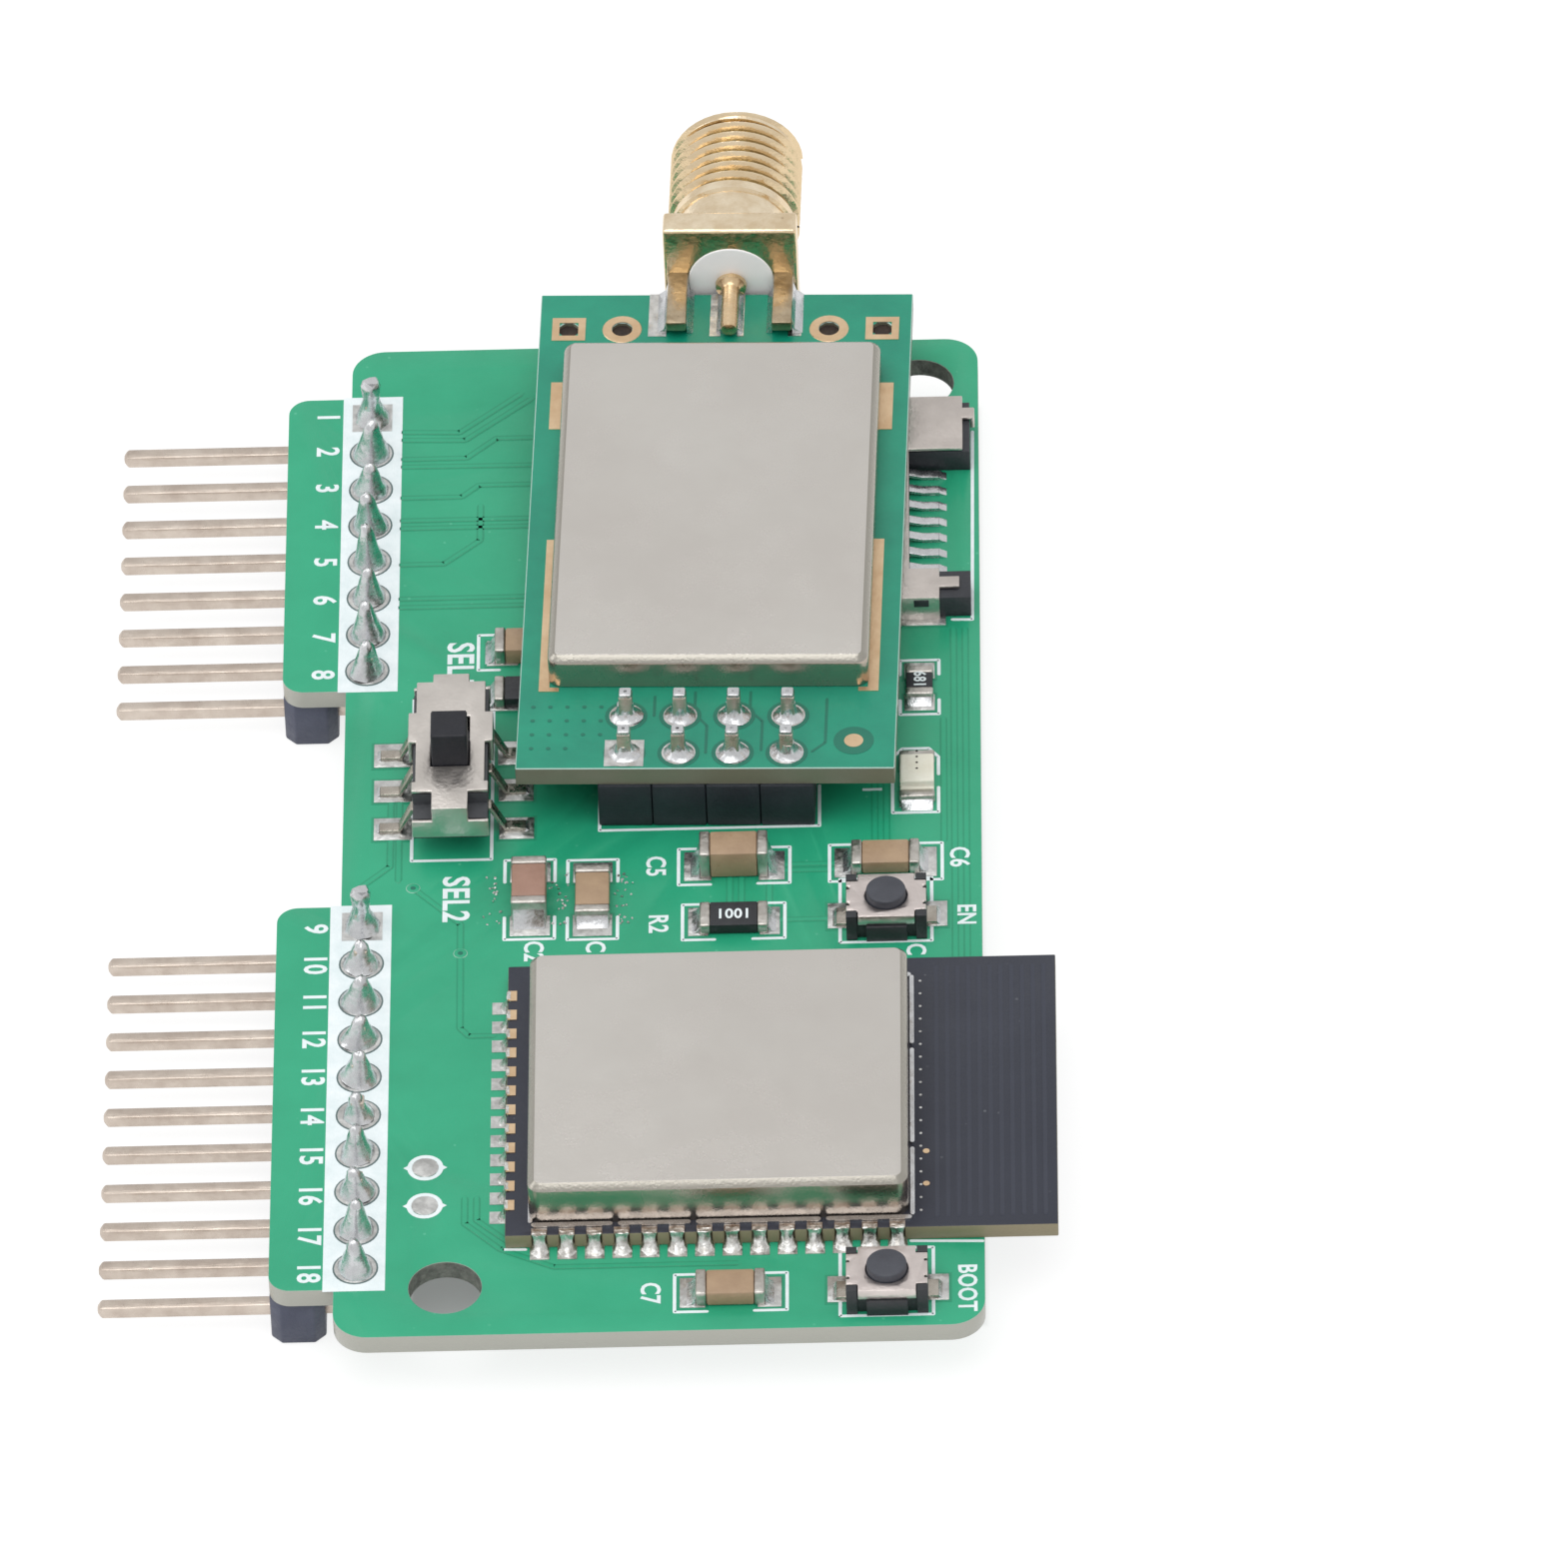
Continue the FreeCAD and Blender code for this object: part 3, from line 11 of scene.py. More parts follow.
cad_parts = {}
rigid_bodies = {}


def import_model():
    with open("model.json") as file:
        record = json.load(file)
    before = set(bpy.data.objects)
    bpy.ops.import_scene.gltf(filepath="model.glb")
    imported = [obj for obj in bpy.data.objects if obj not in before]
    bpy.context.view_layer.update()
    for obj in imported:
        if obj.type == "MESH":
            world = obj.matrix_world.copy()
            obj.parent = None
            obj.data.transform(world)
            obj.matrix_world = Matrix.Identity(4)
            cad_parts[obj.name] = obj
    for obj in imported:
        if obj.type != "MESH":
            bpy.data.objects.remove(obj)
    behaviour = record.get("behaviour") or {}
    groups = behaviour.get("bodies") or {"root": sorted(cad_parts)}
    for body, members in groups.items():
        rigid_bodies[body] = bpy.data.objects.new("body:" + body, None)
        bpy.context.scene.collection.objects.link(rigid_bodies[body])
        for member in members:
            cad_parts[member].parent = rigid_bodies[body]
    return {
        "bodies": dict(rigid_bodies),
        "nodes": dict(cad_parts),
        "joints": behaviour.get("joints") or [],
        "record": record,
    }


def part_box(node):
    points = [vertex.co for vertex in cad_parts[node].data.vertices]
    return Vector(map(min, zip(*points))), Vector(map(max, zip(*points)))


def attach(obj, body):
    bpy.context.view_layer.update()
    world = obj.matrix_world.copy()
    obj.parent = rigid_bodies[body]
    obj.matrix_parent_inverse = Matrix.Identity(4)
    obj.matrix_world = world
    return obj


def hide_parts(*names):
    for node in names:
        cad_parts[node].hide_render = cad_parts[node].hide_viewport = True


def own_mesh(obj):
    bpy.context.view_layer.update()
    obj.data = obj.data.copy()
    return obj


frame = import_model()
log = logging.getLogger("wifi_board")

MM = 0.001
Point = tuple[float, float, float]
Flat = tuple[float, float]
Colour = tuple[float, float, float]
Screen = tuple[int, int, int]


def screen(red: int, green: int, blue: int) -> Colour:
    """Turn a colour as a screen shows it into the linear values that shaders use.

    Args:
        red: Red from 0 to 255.
        green: Green from 0 to 255.
        blue: Blue from 0 to 255.

    Returns:
        The linear colour.
    """
    def linear(part: int) -> float:
        """One channel made linear."""
        share = part / 255
        return share / 12.92 if share <= 0.04045 else ((share + 0.055) / 1.055) ** 2.4

    return linear(red), linear(green), linear(blue)


class Axis(Enum):
    """The way a turned piece points, as the turn that brings +Z there."""

    UP = (0.0, 0.0, 0.0)
    ALONG_Y = (-math.pi / 2, 0.0, 0.0)


@dataclass(frozen=True)
class Place:
    """Where a sub-assembly's own origin lies on the board, in millimetres, and its turn in degrees."""

    x: float = 0.0
    y: float = 0.0
    z: float = 0.0
    turn: float = 0.0

    def matrix(self) -> Matrix:
        """The move from the sub-assembly's millimetres to the board's metres."""
        shift = Matrix.Translation(Vector((self.x, self.y, self.z)) * MM)
        return shift @ Matrix.Rotation(math.radians(self.turn), 4, "Z")


# Handling of objects

def pick(*pieces: bpy.types.Object) -> None:
    """Select only these objects and make the first one active.

    Args:
        *pieces: The objects to select.
    """
    bpy.ops.object.select_all(action="DESELECT")
    for piece in pieces:
        piece.select_set(True)
    bpy.context.view_layer.objects.active = pieces[0]


def settle(piece: bpy.types.Object) -> bpy.types.Object:
    """Move an object's place, turn and size into its mesh."""
    pick(piece)
    bpy.ops.object.transform_apply(location=True, rotation=True, scale=True)
    return piece


def fresh(name: str) -> bpy.types.Object:
    """Name the object that an add operator has just made."""
    piece = bpy.context.active_object
    piece.name = name
    piece.data.name = name
    return piece


def send(piece: bpy.types.Object, place: Place) -> bpy.types.Object:
    """Carry a piece built about the origin to its place on the board.

    Args:
        piece: The piece, built in its sub-assembly's own frame.
        place: The sub-assembly's place.

    Returns:
        The same piece, with its place in its mesh.
    """
    piece.matrix_world = place.matrix() @ piece.matrix_world
    return settle(piece)


def merge(name: str, pieces: list[bpy.types.Object]) -> bpy.types.Object:
    """Join several objects into one.

    Args:
        name: The joined object's name.
        pieces: The objects, of which there is at least one.

    Returns:
        The joined object.
    """
    pick(*pieces)
    if len(pieces) > 1:
        bpy.ops.object.join()
    return fresh(name)


def copies(piece: bpy.types.Object, spots: list[Point], spread: float = 0.0,
           seed: int = 1) -> bpy.types.Object:
    """Repeat one small shape at several spots, each copy with its own mesh, and join them.

    Args:
        piece: The shape, built about the origin.
        spots: Where each copy goes, in millimetres.
        spread: How far a copy's size and turn may stray, as a share.
        seed: The seed of that straying.

    Returns:
        All the copies as one object.
    """
    chance = random.Random(seed)
    made = []
    for spot in spots:
        pick(piece)
        bpy.ops.object.duplicate(linked=False)
        copy = bpy.context.active_object
        copy.location = Vector(spot) * MM
        if spread:
            copy.rotation_euler = (chance.uniform(-spread, spread) * 0.5,
                                   chance.uniform(-spread, spread) * 0.5, chance.uniform(0, math.tau))
            size = 1 + chance.uniform(-spread, spread)
            copy.scale = (size, 1 + chance.uniform(-spread, spread),
                          1 + chance.uniform(-spread, spread) * 1.5)
        made.append(settle(copy))
    name = piece.name
    bpy.data.objects.remove(piece)
    return merge(name, made)


def bevel(piece: bpy.types.Object, width: float, segments: int = 2, angle: float = 35.0) -> bpy.types.Object:
    """Round a piece's sharp edges and smooth its shading.

    Args:
        piece: The piece to round.
        width: The rounding's width in millimetres.
        segments: How many faces cross each rounding.
        angle: The least angle in degrees between two faces whose edge is rounded.

    Returns:
        The same piece.
    """
    pick(piece)
    rounding = piece.modifiers.new("rounding", "BEVEL")
    rounding.width = width * MM
    rounding.segments = segments
    rounding.limit_method = "ANGLE"
    rounding.angle_limit = math.radians(angle)
    rounding.harden_normals = False
    bpy.ops.object.modifier_apply(modifier=rounding.name)
    bpy.ops.object.shade_smooth_by_angle(angle=math.radians(angle))
    return piece


def block(name: str, low: Point, high: Point, rounding: float = 0.0, segments: int = 2) -> bpy.types.Object:
    """A box between two corners, with rounded edges.

    Args:
        name: The piece's name.
        low: The lowest corner, in millimetres.
        high: The highest corner, in millimetres.
        rounding: The width of the rounded edges, in millimetres.
        segments: How many faces cross each rounding.

    Returns:
        The box.
    """
    bpy.ops.object.select_all(action="DESELECT")
    centre = (Vector(low) + Vector(high)) / 2 * MM
    bpy.ops.mesh.primitive_cube_add(size=1, location=centre)
    piece = fresh(name)
    piece.scale = (Vector(high) - Vector(low)) * MM
    settle(piece)
    return bevel(piece, rounding, segments) if rounding else piece


def turned(name: str, profile: list[Flat], sides: int = 32, axis: Axis = Axis.UP, at: Point = (0, 0, 0),
           closed: bool = True) -> bpy.types.Object:
    """A turned piece, raised ring by ring by extruding a circle and resizing it.

    Args:
        name: The piece's name.
        profile: Radius and height of each ring, in millimetres, from one end to the other.
        sides: How many sides the rings have.
        axis: The way the heights point.
        at: Where height 0 lies on the axis, in millimetres.
        closed: Whether both ends get a face.

    Returns:
        The turned piece.
    """
    bpy.ops.object.select_all(action="DESELECT")
    radius, height = profile[0]
    fill = "NGON" if closed else "NOTHING"
    bpy.ops.mesh.primitive_circle_add(vertices=sides, radius=radius * MM, fill_type=fill,
                                      location=(0, 0, height * MM))
    piece = fresh(name)
    settle(piece)
    bpy.ops.object.mode_set(mode="EDIT")
    bpy.ops.mesh.select_all(action="SELECT")
    for ring_radius, ring_height in profile[1:]:
        bpy.ops.mesh.extrude_region_move(TRANSFORM_OT_translate={"value": (0, 0,
                                                                           (ring_height - height) * MM)})
        share = ring_radius / radius
        bpy.ops.transform.resize(value=(share, share, 1), center_override=(0, 0, ring_height * MM))
        radius, height = ring_radius, ring_height
    bpy.ops.mesh.select_all(action="SELECT")
    bpy.ops.mesh.normals_make_consistent(inside=False)
    bpy.ops.object.mode_set(mode="OBJECT")
    piece.rotation_euler = axis.value
    piece.location = Vector(at) * MM
    settle(piece)
    bpy.ops.object.shade_smooth_by_angle(angle=math.radians(40))
    return piece


def ribbon(points: list[Flat], width: float, low: float, high: float) -> list[bpy.types.Object]:
    """A printed or etched line of straight runs with round joints.

    Args:
        points: The line's corners, in millimetres.
        width: The line's width.
        low: The height of its underside.
        high: The height of its top.

    Returns:
        The runs and joints as loose objects.
    """
    made = []
    for (x0, y0), (x1, y1) in zip(points, points[1:]):
        run = block("run", (-0.5, -width / 2, low), (0.5, width / 2, high))
        run.scale = (math.hypot(x1 - x0, y1 - y0), 1, 1)
        run.rotation_euler = (0, 0, math.atan2(y1 - y0, x1 - x0))
        run.location = Vector(((x0 + x1) / 2, (y0 + y1) / 2, 0)) * MM
        made.append(settle(run))
    for x, y in points:
        made.append(turned("joint", [(width / 2, low), (width / 2, high - 0.002)], sides=8, at=(x, y, 0)))
    return made


def lengthened(points: list[Flat], more: float) -> list[Flat]:
    """A line drawn out at both ends.

    Args:
        points: The line's corners, in millimetres.
        more: How much longer it gets at each end.

    Returns:
        The longer line.
    """
    made = list(points)
    for end, inner in ((0, 1), (-1, -2)):
        run = Vector(points[end]) - Vector(points[inner])
        made[end] = tuple(Vector(points[end]) + run.normalized() * more)
    return made


def lettering(text: str, x: float, y: float, size: float, low: float,
              turn: float = -90.0) -> bpy.types.Object:
    """Printed characters, centred on a spot and made a mesh before they are placed.

    Args:
        text: The characters.
        x: Centre along X, in millimetres.
        y: Centre along Y, in millimetres.
        size: The characters' size.
        low: The height that they are printed on.
        turn: The turn of the reading direction, in degrees.

    Returns:
        The characters as a mesh.
    """
    bpy.ops.object.select_all(action="DESELECT")
    bpy.ops.object.text_add()
    words = bpy.context.active_object
    words.data.body = text
    words.data.align_x = "CENTER"
    words.data.align_y = "CENTER"
    words.data.size = size
    words.data.offset = size * 0.022
    words.data.space_character = 1.05
    words.data.extrude = 0.008
    words.data.resolution_u = 3
    bpy.ops.object.convert(target="MESH")
    piece = fresh(f"letters_{text}")
    piece.scale = (MM * 0.88, MM * 1.0, MM)
    piece.rotation_euler = (0, 0, math.radians(turn))
    piece.location = Vector((x, y, low + 0.008)) * MM
    return settle(piece)


def crumpled(piece: bpy.types.Object, most: float, seed: int = 1) -> bpy.types.Object:
    """Shift every vertex a little, as solder sets unevenly.

    Args:
        piece: The piece, whose mesh is changed.
        most: The greatest shift along each axis, in millimetres.
        seed: The seed of the shifts.

    Returns:
        The same piece.
    """
    chance = random.Random(seed)
    for vertex in piece.data.vertices:
        vertex.co += Vector([chance.uniform(-most, most) for _ in range(3)]) * MM
    return piece


def squeezed(piece: bpy.types.Object, centre: float, limit: float, share: float) -> bpy.types.Object:
    """Draw in what reaches too far to either side along X.

    Args:
        piece: The piece, whose mesh is changed.
        centre: The middle along X, in millimetres.
        limit: How far from the middle the mesh stays as it is.
        share: The share of the reach beyond that which is kept.

    Returns:
        The same piece.
    """
    for vertex in piece.data.vertices:
        off = vertex.co.x / MM - centre
        if abs(off) > limit:
            vertex.co.x = (centre + math.copysign(limit + (abs(off) - limit) * share, off)) * MM
    return piece


def softened(node: str, width: float, segments: int = 2, angle: float = 35.0) -> bpy.types.Object:
    """A copy of a solid with its loose triangles merged, its flat faces made whole and its edges rounded.

    Args:
        node: The solid's name.
        width: The rounding's width in millimetres.
        segments: How many faces cross each rounding.
        angle: The least angle in degrees between faces whose edge is rounded.

    Returns:
        The rounded copy.
    """
    source = bpy.data.objects[node]
    pick(source)
    bpy.ops.object.duplicate(linked=False)
    copy = fresh(f"{node}_form")
    copy.parent = None
    for key in [key for key in copy.keys() if key.startswith("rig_")]:
        del copy[key]
    pick(copy)
    bpy.ops.object.mode_set(mode="EDIT")
    bpy.ops.mesh.select_all(action="SELECT")
    bpy.ops.mesh.remove_doubles(threshold=1e-7)
    bpy.ops.mesh.customdata_custom_splitnormals_clear()
    bpy.ops.mesh.dissolve_limited(angle_limit=math.radians(1.0))
    bpy.ops.mesh.select_all(action="DESELECT")
    bpy.ops.object.mode_set(mode="OBJECT")
    return bevel(copy, width, segments, angle)


# Finishes

def node_group(name: str, inputs: dict[str, float], outputs: list[str]) -> bpy.types.NodeTree:
    """An empty shader effect with named inputs and outputs.

    Args:
        name: The effect's name.
        inputs: The inputs and their usual values.
        outputs: The names of the outputs.

    Returns:
        The effect's tree, with its input and output nodes.
    """
    tree = bpy.data.node_groups.new(name, "ShaderNodeTree")
    for label, usual in inputs.items():
        socket = tree.interface.new_socket(label, in_out="INPUT", socket_type="NodeSocketFloat")
        socket.default_value = usual
    for label in outputs:
        tree.interface.new_socket(label, in_out="OUTPUT", socket_type="NodeSocketFloat")
    tree.nodes.new("NodeGroupInput").name = "in"
    tree.nodes.new("NodeGroupOutput").name = "out"
    tree.nodes.new("ShaderNodeTexCoord").name = "where"
    return tree


def feed(tree: bpy.types.NodeTree, value: float | Colour | bpy.types.NodeSocket,
         socket: bpy.types.NodeSocket) -> None:
    """Give an input a number, a colour or a link.

    Args:
        tree: The tree that holds the input.
        value: What it gets.
        socket: The input.
    """
    if isinstance(value, bpy.types.NodeSocket):
        tree.links.new(value, socket)
    elif isinstance(value, tuple):
        socket.default_value = (*value, 1)
    else:
        socket.default_value = value


def stretched(tree: bpy.types.NodeTree, value: bpy.types.NodeSocket, low: float, high: float,
              least: float = 0.0, most: float = 1.0) -> bpy.types.NodeSocket:
    """Stretch the values from low to high over another range, and hold the rest at its ends.

    Args:
        tree: The tree to add to.
        value: The value to stretch.
        low: The value that becomes the least.
        high: The value that becomes the most.
        least: The least result.
        most: The greatest result.

    Returns:
        The stretched value.
    """
    node = tree.nodes.new("ShaderNodeMapRange")
    feed(tree, value, node.inputs["Value"])
    for label, number in (("From Min", low), ("From Max", high), ("To Min", least), ("To Max", most)):
        feed(tree, number, node.inputs[label])
    return node.outputs["Result"]


def computed(tree: bpy.types.NodeTree, operation: str, *values: float | bpy.types.NodeSocket,
             clamp: bool = False) -> bpy.types.NodeSocket:
    """Work out one sum.

    Args:
        tree: The tree to add to.
        operation: The sum's name.
        *values: What goes into it.
        clamp: Whether the result is held between 0 and 1.

    Returns:
        The result.
    """
    node = tree.nodes.new("ShaderNodeMath")
    node.operation = operation
    node.use_clamp = clamp
    for slot, value in enumerate(values):
        feed(tree, value, node.inputs[slot])
    return node.outputs["Value"]


def mixed(tree: bpy.types.NodeTree, share: bpy.types.NodeSocket, low: Colour | bpy.types.NodeSocket,
          high: Colour | bpy.types.NodeSocket) -> bpy.types.NodeSocket:
    """Blend two colours by a mask.

    Args:
        tree: The tree to add to.
        share: The mask.
        low: The colour where the mask is 0.
        high: The colour where it is 1.

    Returns:
        The blended colour.
    """
    node = tree.nodes.new("ShaderNodeMix")
    node.data_type = "RGBA"
    feed(tree, share, node.inputs["Factor"])
    feed(tree, low, node.inputs[6])
    feed(tree, high, node.inputs[7])
    return node.outputs[2]


def noised(tree: bpy.types.NodeTree, size: float | bpy.types.NodeSocket, detail: float = 2.0,
           roughness: float = 0.5, where: bpy.types.NodeSocket | None = None) -> bpy.types.NodeSocket:
    """Add a noise.

    Args:
        tree: The effect's tree.
        size: How many features lie along a metre.
        detail: How many finer layers it has.
        roughness: How strong these are.
        where: The place to read it at, if that isn't the object's own.

    Returns:
        The noise.
    """
    node = tree.nodes.new("ShaderNodeTexNoise")
    place = tree.nodes["where"].outputs["Object"] if where is None else where
    for label, value in (("Vector", place), ("Scale", size), ("Detail", detail), ("Roughness", roughness)):
        feed(tree, value, node.inputs[label])
    return node.outputs["Fac"]


def mottle_effect() -> bpy.types.NodeTree:
    """Soft uneven patches."""
    tree = node_group("mottle", {"Size": 500.0}, ["Mask"])
    patches = noised(tree, tree.nodes["in"].outputs["Size"], 4.0, 0.62)
    feed(tree, stretched(tree, patches, 0.34, 0.66), tree.nodes["out"].inputs["Mask"])
    return tree


def grain_effect() -> bpy.types.NodeTree:
    """Fine grain as a height, stretched along X by a share."""
    tree = node_group("grain", {"Size": 9000.0, "Stretch": 1.0}, ["Height"])
    wanted = tree.nodes["in"].outputs
    parts = tree.nodes.new("ShaderNodeSeparateXYZ")
    whole = tree.nodes.new("ShaderNodeCombineXYZ")
    feed(tree, tree.nodes["where"].outputs["Object"], parts.inputs["Vector"])
    feed(tree, computed(tree, "MULTIPLY", parts.outputs["X"], wanted["Stretch"]), whole.inputs["X"])
    for axis in "YZ":
        feed(tree, parts.outputs[axis], whole.inputs[axis])
    grain = noised(tree, wanted["Size"], 3.0, 0.5, whole.outputs["Vector"])
    feed(tree, grain, tree.nodes["out"].inputs["Height"])
    return tree


def speck_effect() -> bpy.types.NodeTree:
    """Sparse small specks of dust or pits."""
    tree = node_group("specks", {"Size": 1200.0, "Reach": 0.09}, ["Mask"])
    wanted = tree.nodes["in"].outputs
    cells = tree.nodes.new("ShaderNodeTexVoronoi")
    feed(tree, tree.nodes["where"].outputs["Object"], cells.inputs["Vector"])
    feed(tree, wanted["Size"], cells.inputs["Scale"])
    near = computed(tree, "LESS_THAN", cells.outputs["Distance"], wanted["Reach"])
    some = stretched(tree, noised(tree, 400.0), 0.5, 0.62)
    feed(tree, computed(tree, "MULTIPLY", near, some), tree.nodes["out"].inputs["Mask"])
    return tree


def side_effect() -> bpy.types.NodeTree:
    """How far a surface faces sideways, a sheet's layers, and the rounding between face and side, on which
    some finishes paint light and shade.
    """
    tree = node_group("sides", {"Layers": 5200.0}, ["Side", "Layer", "Rim"])
    surface = tree.nodes.new("ShaderNodeNewGeometry")
    parts = tree.nodes.new("ShaderNodeSeparateXYZ")
    feed(tree, surface.outputs["Normal"], parts.inputs["Vector"])
    upright = computed(tree, "ABSOLUTE", parts.outputs["Z"])
    wave = tree.nodes.new("ShaderNodeTexWave")
    wave.bands_direction = "Z"
    place, layers = tree.nodes["where"].outputs["Object"], tree.nodes["in"].outputs["Layers"]
    for label, value in (("Vector", place), ("Scale", layers), ("Distortion", 3.0), ("Detail", 3.0)):
        feed(tree, value, wave.inputs[label])
    found = {"Side": stretched(tree, upright, 0.75, 0.35), "Layer": wave.outputs["Fac"],
             "Rim": computed(tree, "COMPARE", upright, 0.7, 0.26)}
    for label, value in found.items():
        feed(tree, value, tree.nodes["out"].inputs[label])
    return tree


class Effects:
    """The shader effects that finishes share, each made once."""

    made: dict[str, bpy.types.NodeTree] = {}

    @classmethod
    def get(cls, name: str) -> bpy.types.NodeTree:
        """Return an effect's tree, made at its first use."""
        makers = {"mottle": mottle_effect, "grain": grain_effect, "specks": speck_effect,
                  "sides": side_effect}
        if name not in cls.made:
            cls.made[name] = makers[name]()
        return cls.made[name]


@dataclass(frozen=True)
class Finish:
    """A surface: two colours in soft patches, specks, and a fine grain.

    Args:
        name: The material's name, without its ending.
        colour: Its main colour, as a screen shows it.
        patches: Its second colour.
        patch_size: How many patches lie along a metre.
        metallic: 1 for bare metal.
        rough: Least and greatest roughness.
        grain: How strongly the grain stands out.
        grain_size: How many grains lie along a metre.
        stretch: The grain's share along X.
        coat: The weight of a clear coat.
        speck: The specks' colour.
        speck_share: How strongly they show.
        edge: The colour of surfaces that face sideways: the boards' own edges, and painted shade on the sides
            of the shields and the jack.
        rim: The colour painted on the rounding between a face and a side: a painted highlight on the boards
            and painted shade on the shields.
        band: The share of its edge colour that the sides keep in their darker layers.
        slot: The record's material slot; not used.
    """

    name: str
    colour: Screen
    patches: Screen
    patch_size: float = 500.0
    metallic: float = 0.0
    rough: tuple[float, float] = (0.4, 0.5)
    grain: float = 0.2
    grain_size: float = 9000.0
    stretch: float = 1.0
    coat: float = 0.0
    speck: Screen = (203, 203, 200)
    speck_share: float = 0.0
    edge: Screen | None = None
    rim: Screen | None = None
    band: float = 0.72
    slot: str = ""

    def effect(self, tree: bpy.types.NodeTree, name: str, **values: float) -> bpy.types.Node:
        """Add one of the shared effects to a material.

        Args:
            tree: The material's tree.
            name: The effect's name.
            **values: Its inputs.

        Returns:
            The node.
        """
        node = tree.nodes.new("ShaderNodeGroup")
        node.node_tree = Effects.get(name)
        for label, value in values.items():
            feed(tree, value, node.inputs[label])
        return node

    def material(self) -> bpy.types.Material:
        """Make the material, or return it if it is there already."""
        name = f"{self.name}_finish"
        if name in bpy.data.materials:
            return bpy.data.materials[name]
        made = bpy.data.materials.new(name)
        made.use_nodes = True
        tree = made.node_tree
        shader = tree.nodes["Principled BSDF"]
        patches = self.effect(tree, "mottle", Size=self.patch_size)
        colour = mixed(tree, patches.outputs["Mask"], screen(*self.colour), screen(*self.patches))
        if self.speck_share:
            specks = self.effect(tree, "specks")
            faint = computed(tree, "MULTIPLY", specks.outputs["Mask"], self.speck_share)
            colour = mixed(tree, faint, colour, screen(*self.speck))
        # Sides get the edge colour: the boards' own edges, and painted shade on the sides of the shields and
        # the jack.
        if self.edge is not None:
            sides = self.effect(tree, "sides")
            edge = screen(*self.edge)
            edge_colour_and_shade = mixed(tree, sides.outputs["Layer"], edge, tuple(part * self.band for part in edge))
            colour = mixed(tree, sides.outputs["Side"], colour, edge_colour_and_shade)
            # Painted light on the rounding between face and side: a pale painted highlight on the boards,
            # painted shade on the shields.
            if self.rim is not None:
                colour = mixed(tree, sides.outputs["Rim"], colour, screen(*self.rim))
        feed(tree, colour, shader.inputs["Base Color"])
        fine = self.effect(tree, "mottle", Size=self.patch_size * 3.1)
        feed(tree, stretched(tree, fine.outputs["Mask"], 0.0, 1.0, *self.rough), shader.inputs["Roughness"])
        grain = self.effect(tree, "grain", Size=self.grain_size, Stretch=self.stretch)
        bump = tree.nodes.new("ShaderNodeBump")
        feed(tree, grain.outputs["Height"], bump.inputs["Height"])
        feed(tree, self.grain, bump.inputs["Strength"])
        feed(tree, 0.5 / self.grain_size, bump.inputs["Distance"])
        feed(tree, bump.outputs["Normal"], shader.inputs["Normal"])
        for label, value in (("Metallic", self.metallic), ("Coat Weight", self.coat),
                             ("Coat Roughness", 0.12)):
            feed(tree, value, shader.inputs[label])
        return made

    def dress(self, piece: bpy.types.Object) -> bpy.types.Object:
        """Give a piece this finish alone."""
        piece.data.materials.clear()
        piece.data.materials.append(self.material())
        return piece


TIN = Finish("tin", (226, 226, 224), (182, 182, 180), 1500, 1.0, (0.28, 0.46), 0.3, 1800)
SOLDER = Finish("solder", (220, 221, 223), (198, 199, 201), 1300, 1.0, (0.2, 0.34), 0.18, 1500,
                slot="solder")
JOINT = Finish("joint_solder", (240, 240, 238), (176, 172, 166), 3200, 1.0, (0.24, 0.42), 0.4, 2500,
               slot="solder")
DULL_GOLD = Finish("worn_gold", (132, 110, 92), (214, 204, 194), 3400, 1.0, (0.3, 0.45), 0.3, 3000)
PIN = Finish("pin_metal", (216, 204, 192), (194, 180, 168), 700, 1.0, (0.26, 0.42), 0.3, 6000, 0.12,
             slot="pin_metal")
# The pale rim on the rounding of the board's edge is a painted highlight; the tan edge colour is the board's
# own.
GREEN = Finish("green_lacquer", (30, 154, 114), (38, 163, 122), 160, 0.0, (0.34, 0.46), 0.06, 3200,
               coat=0.12, edge=(186, 186, 176), rim=(140, 184, 164), speck=(120, 205, 170),
               speck_share=0.25, slot="green_board")
# The mounting holes' walls are darker than the board's edge: painted shade inside the holes.
WALL_SHADE = Finish("drilled_wall", (124, 128, 120), (88, 92, 86), 2400, 0.0, (0.6, 0.8), 0.8, 3000)
# Dark brown: the LED's own dark dots, and painted shade at the bottom of the radio board's holes.
DARK_DOTS_AND_HOLE_SHADE = Finish("dark_hole", (58, 44, 36), (40, 30, 26), 2400, 0.0, (0.6, 0.8), 0.4, 3000)
HALO = Finish("solder_rim", (104, 122, 122), (84, 104, 104), 900, 0.3, (0.35, 0.5), 0.3, 4000)
TRACK = Finish("lacquer_over_copper", (22, 138, 102), (28, 146, 108), 160, 0.0, (0.34, 0.46), 0.06, 3200,
               coat=0.12)
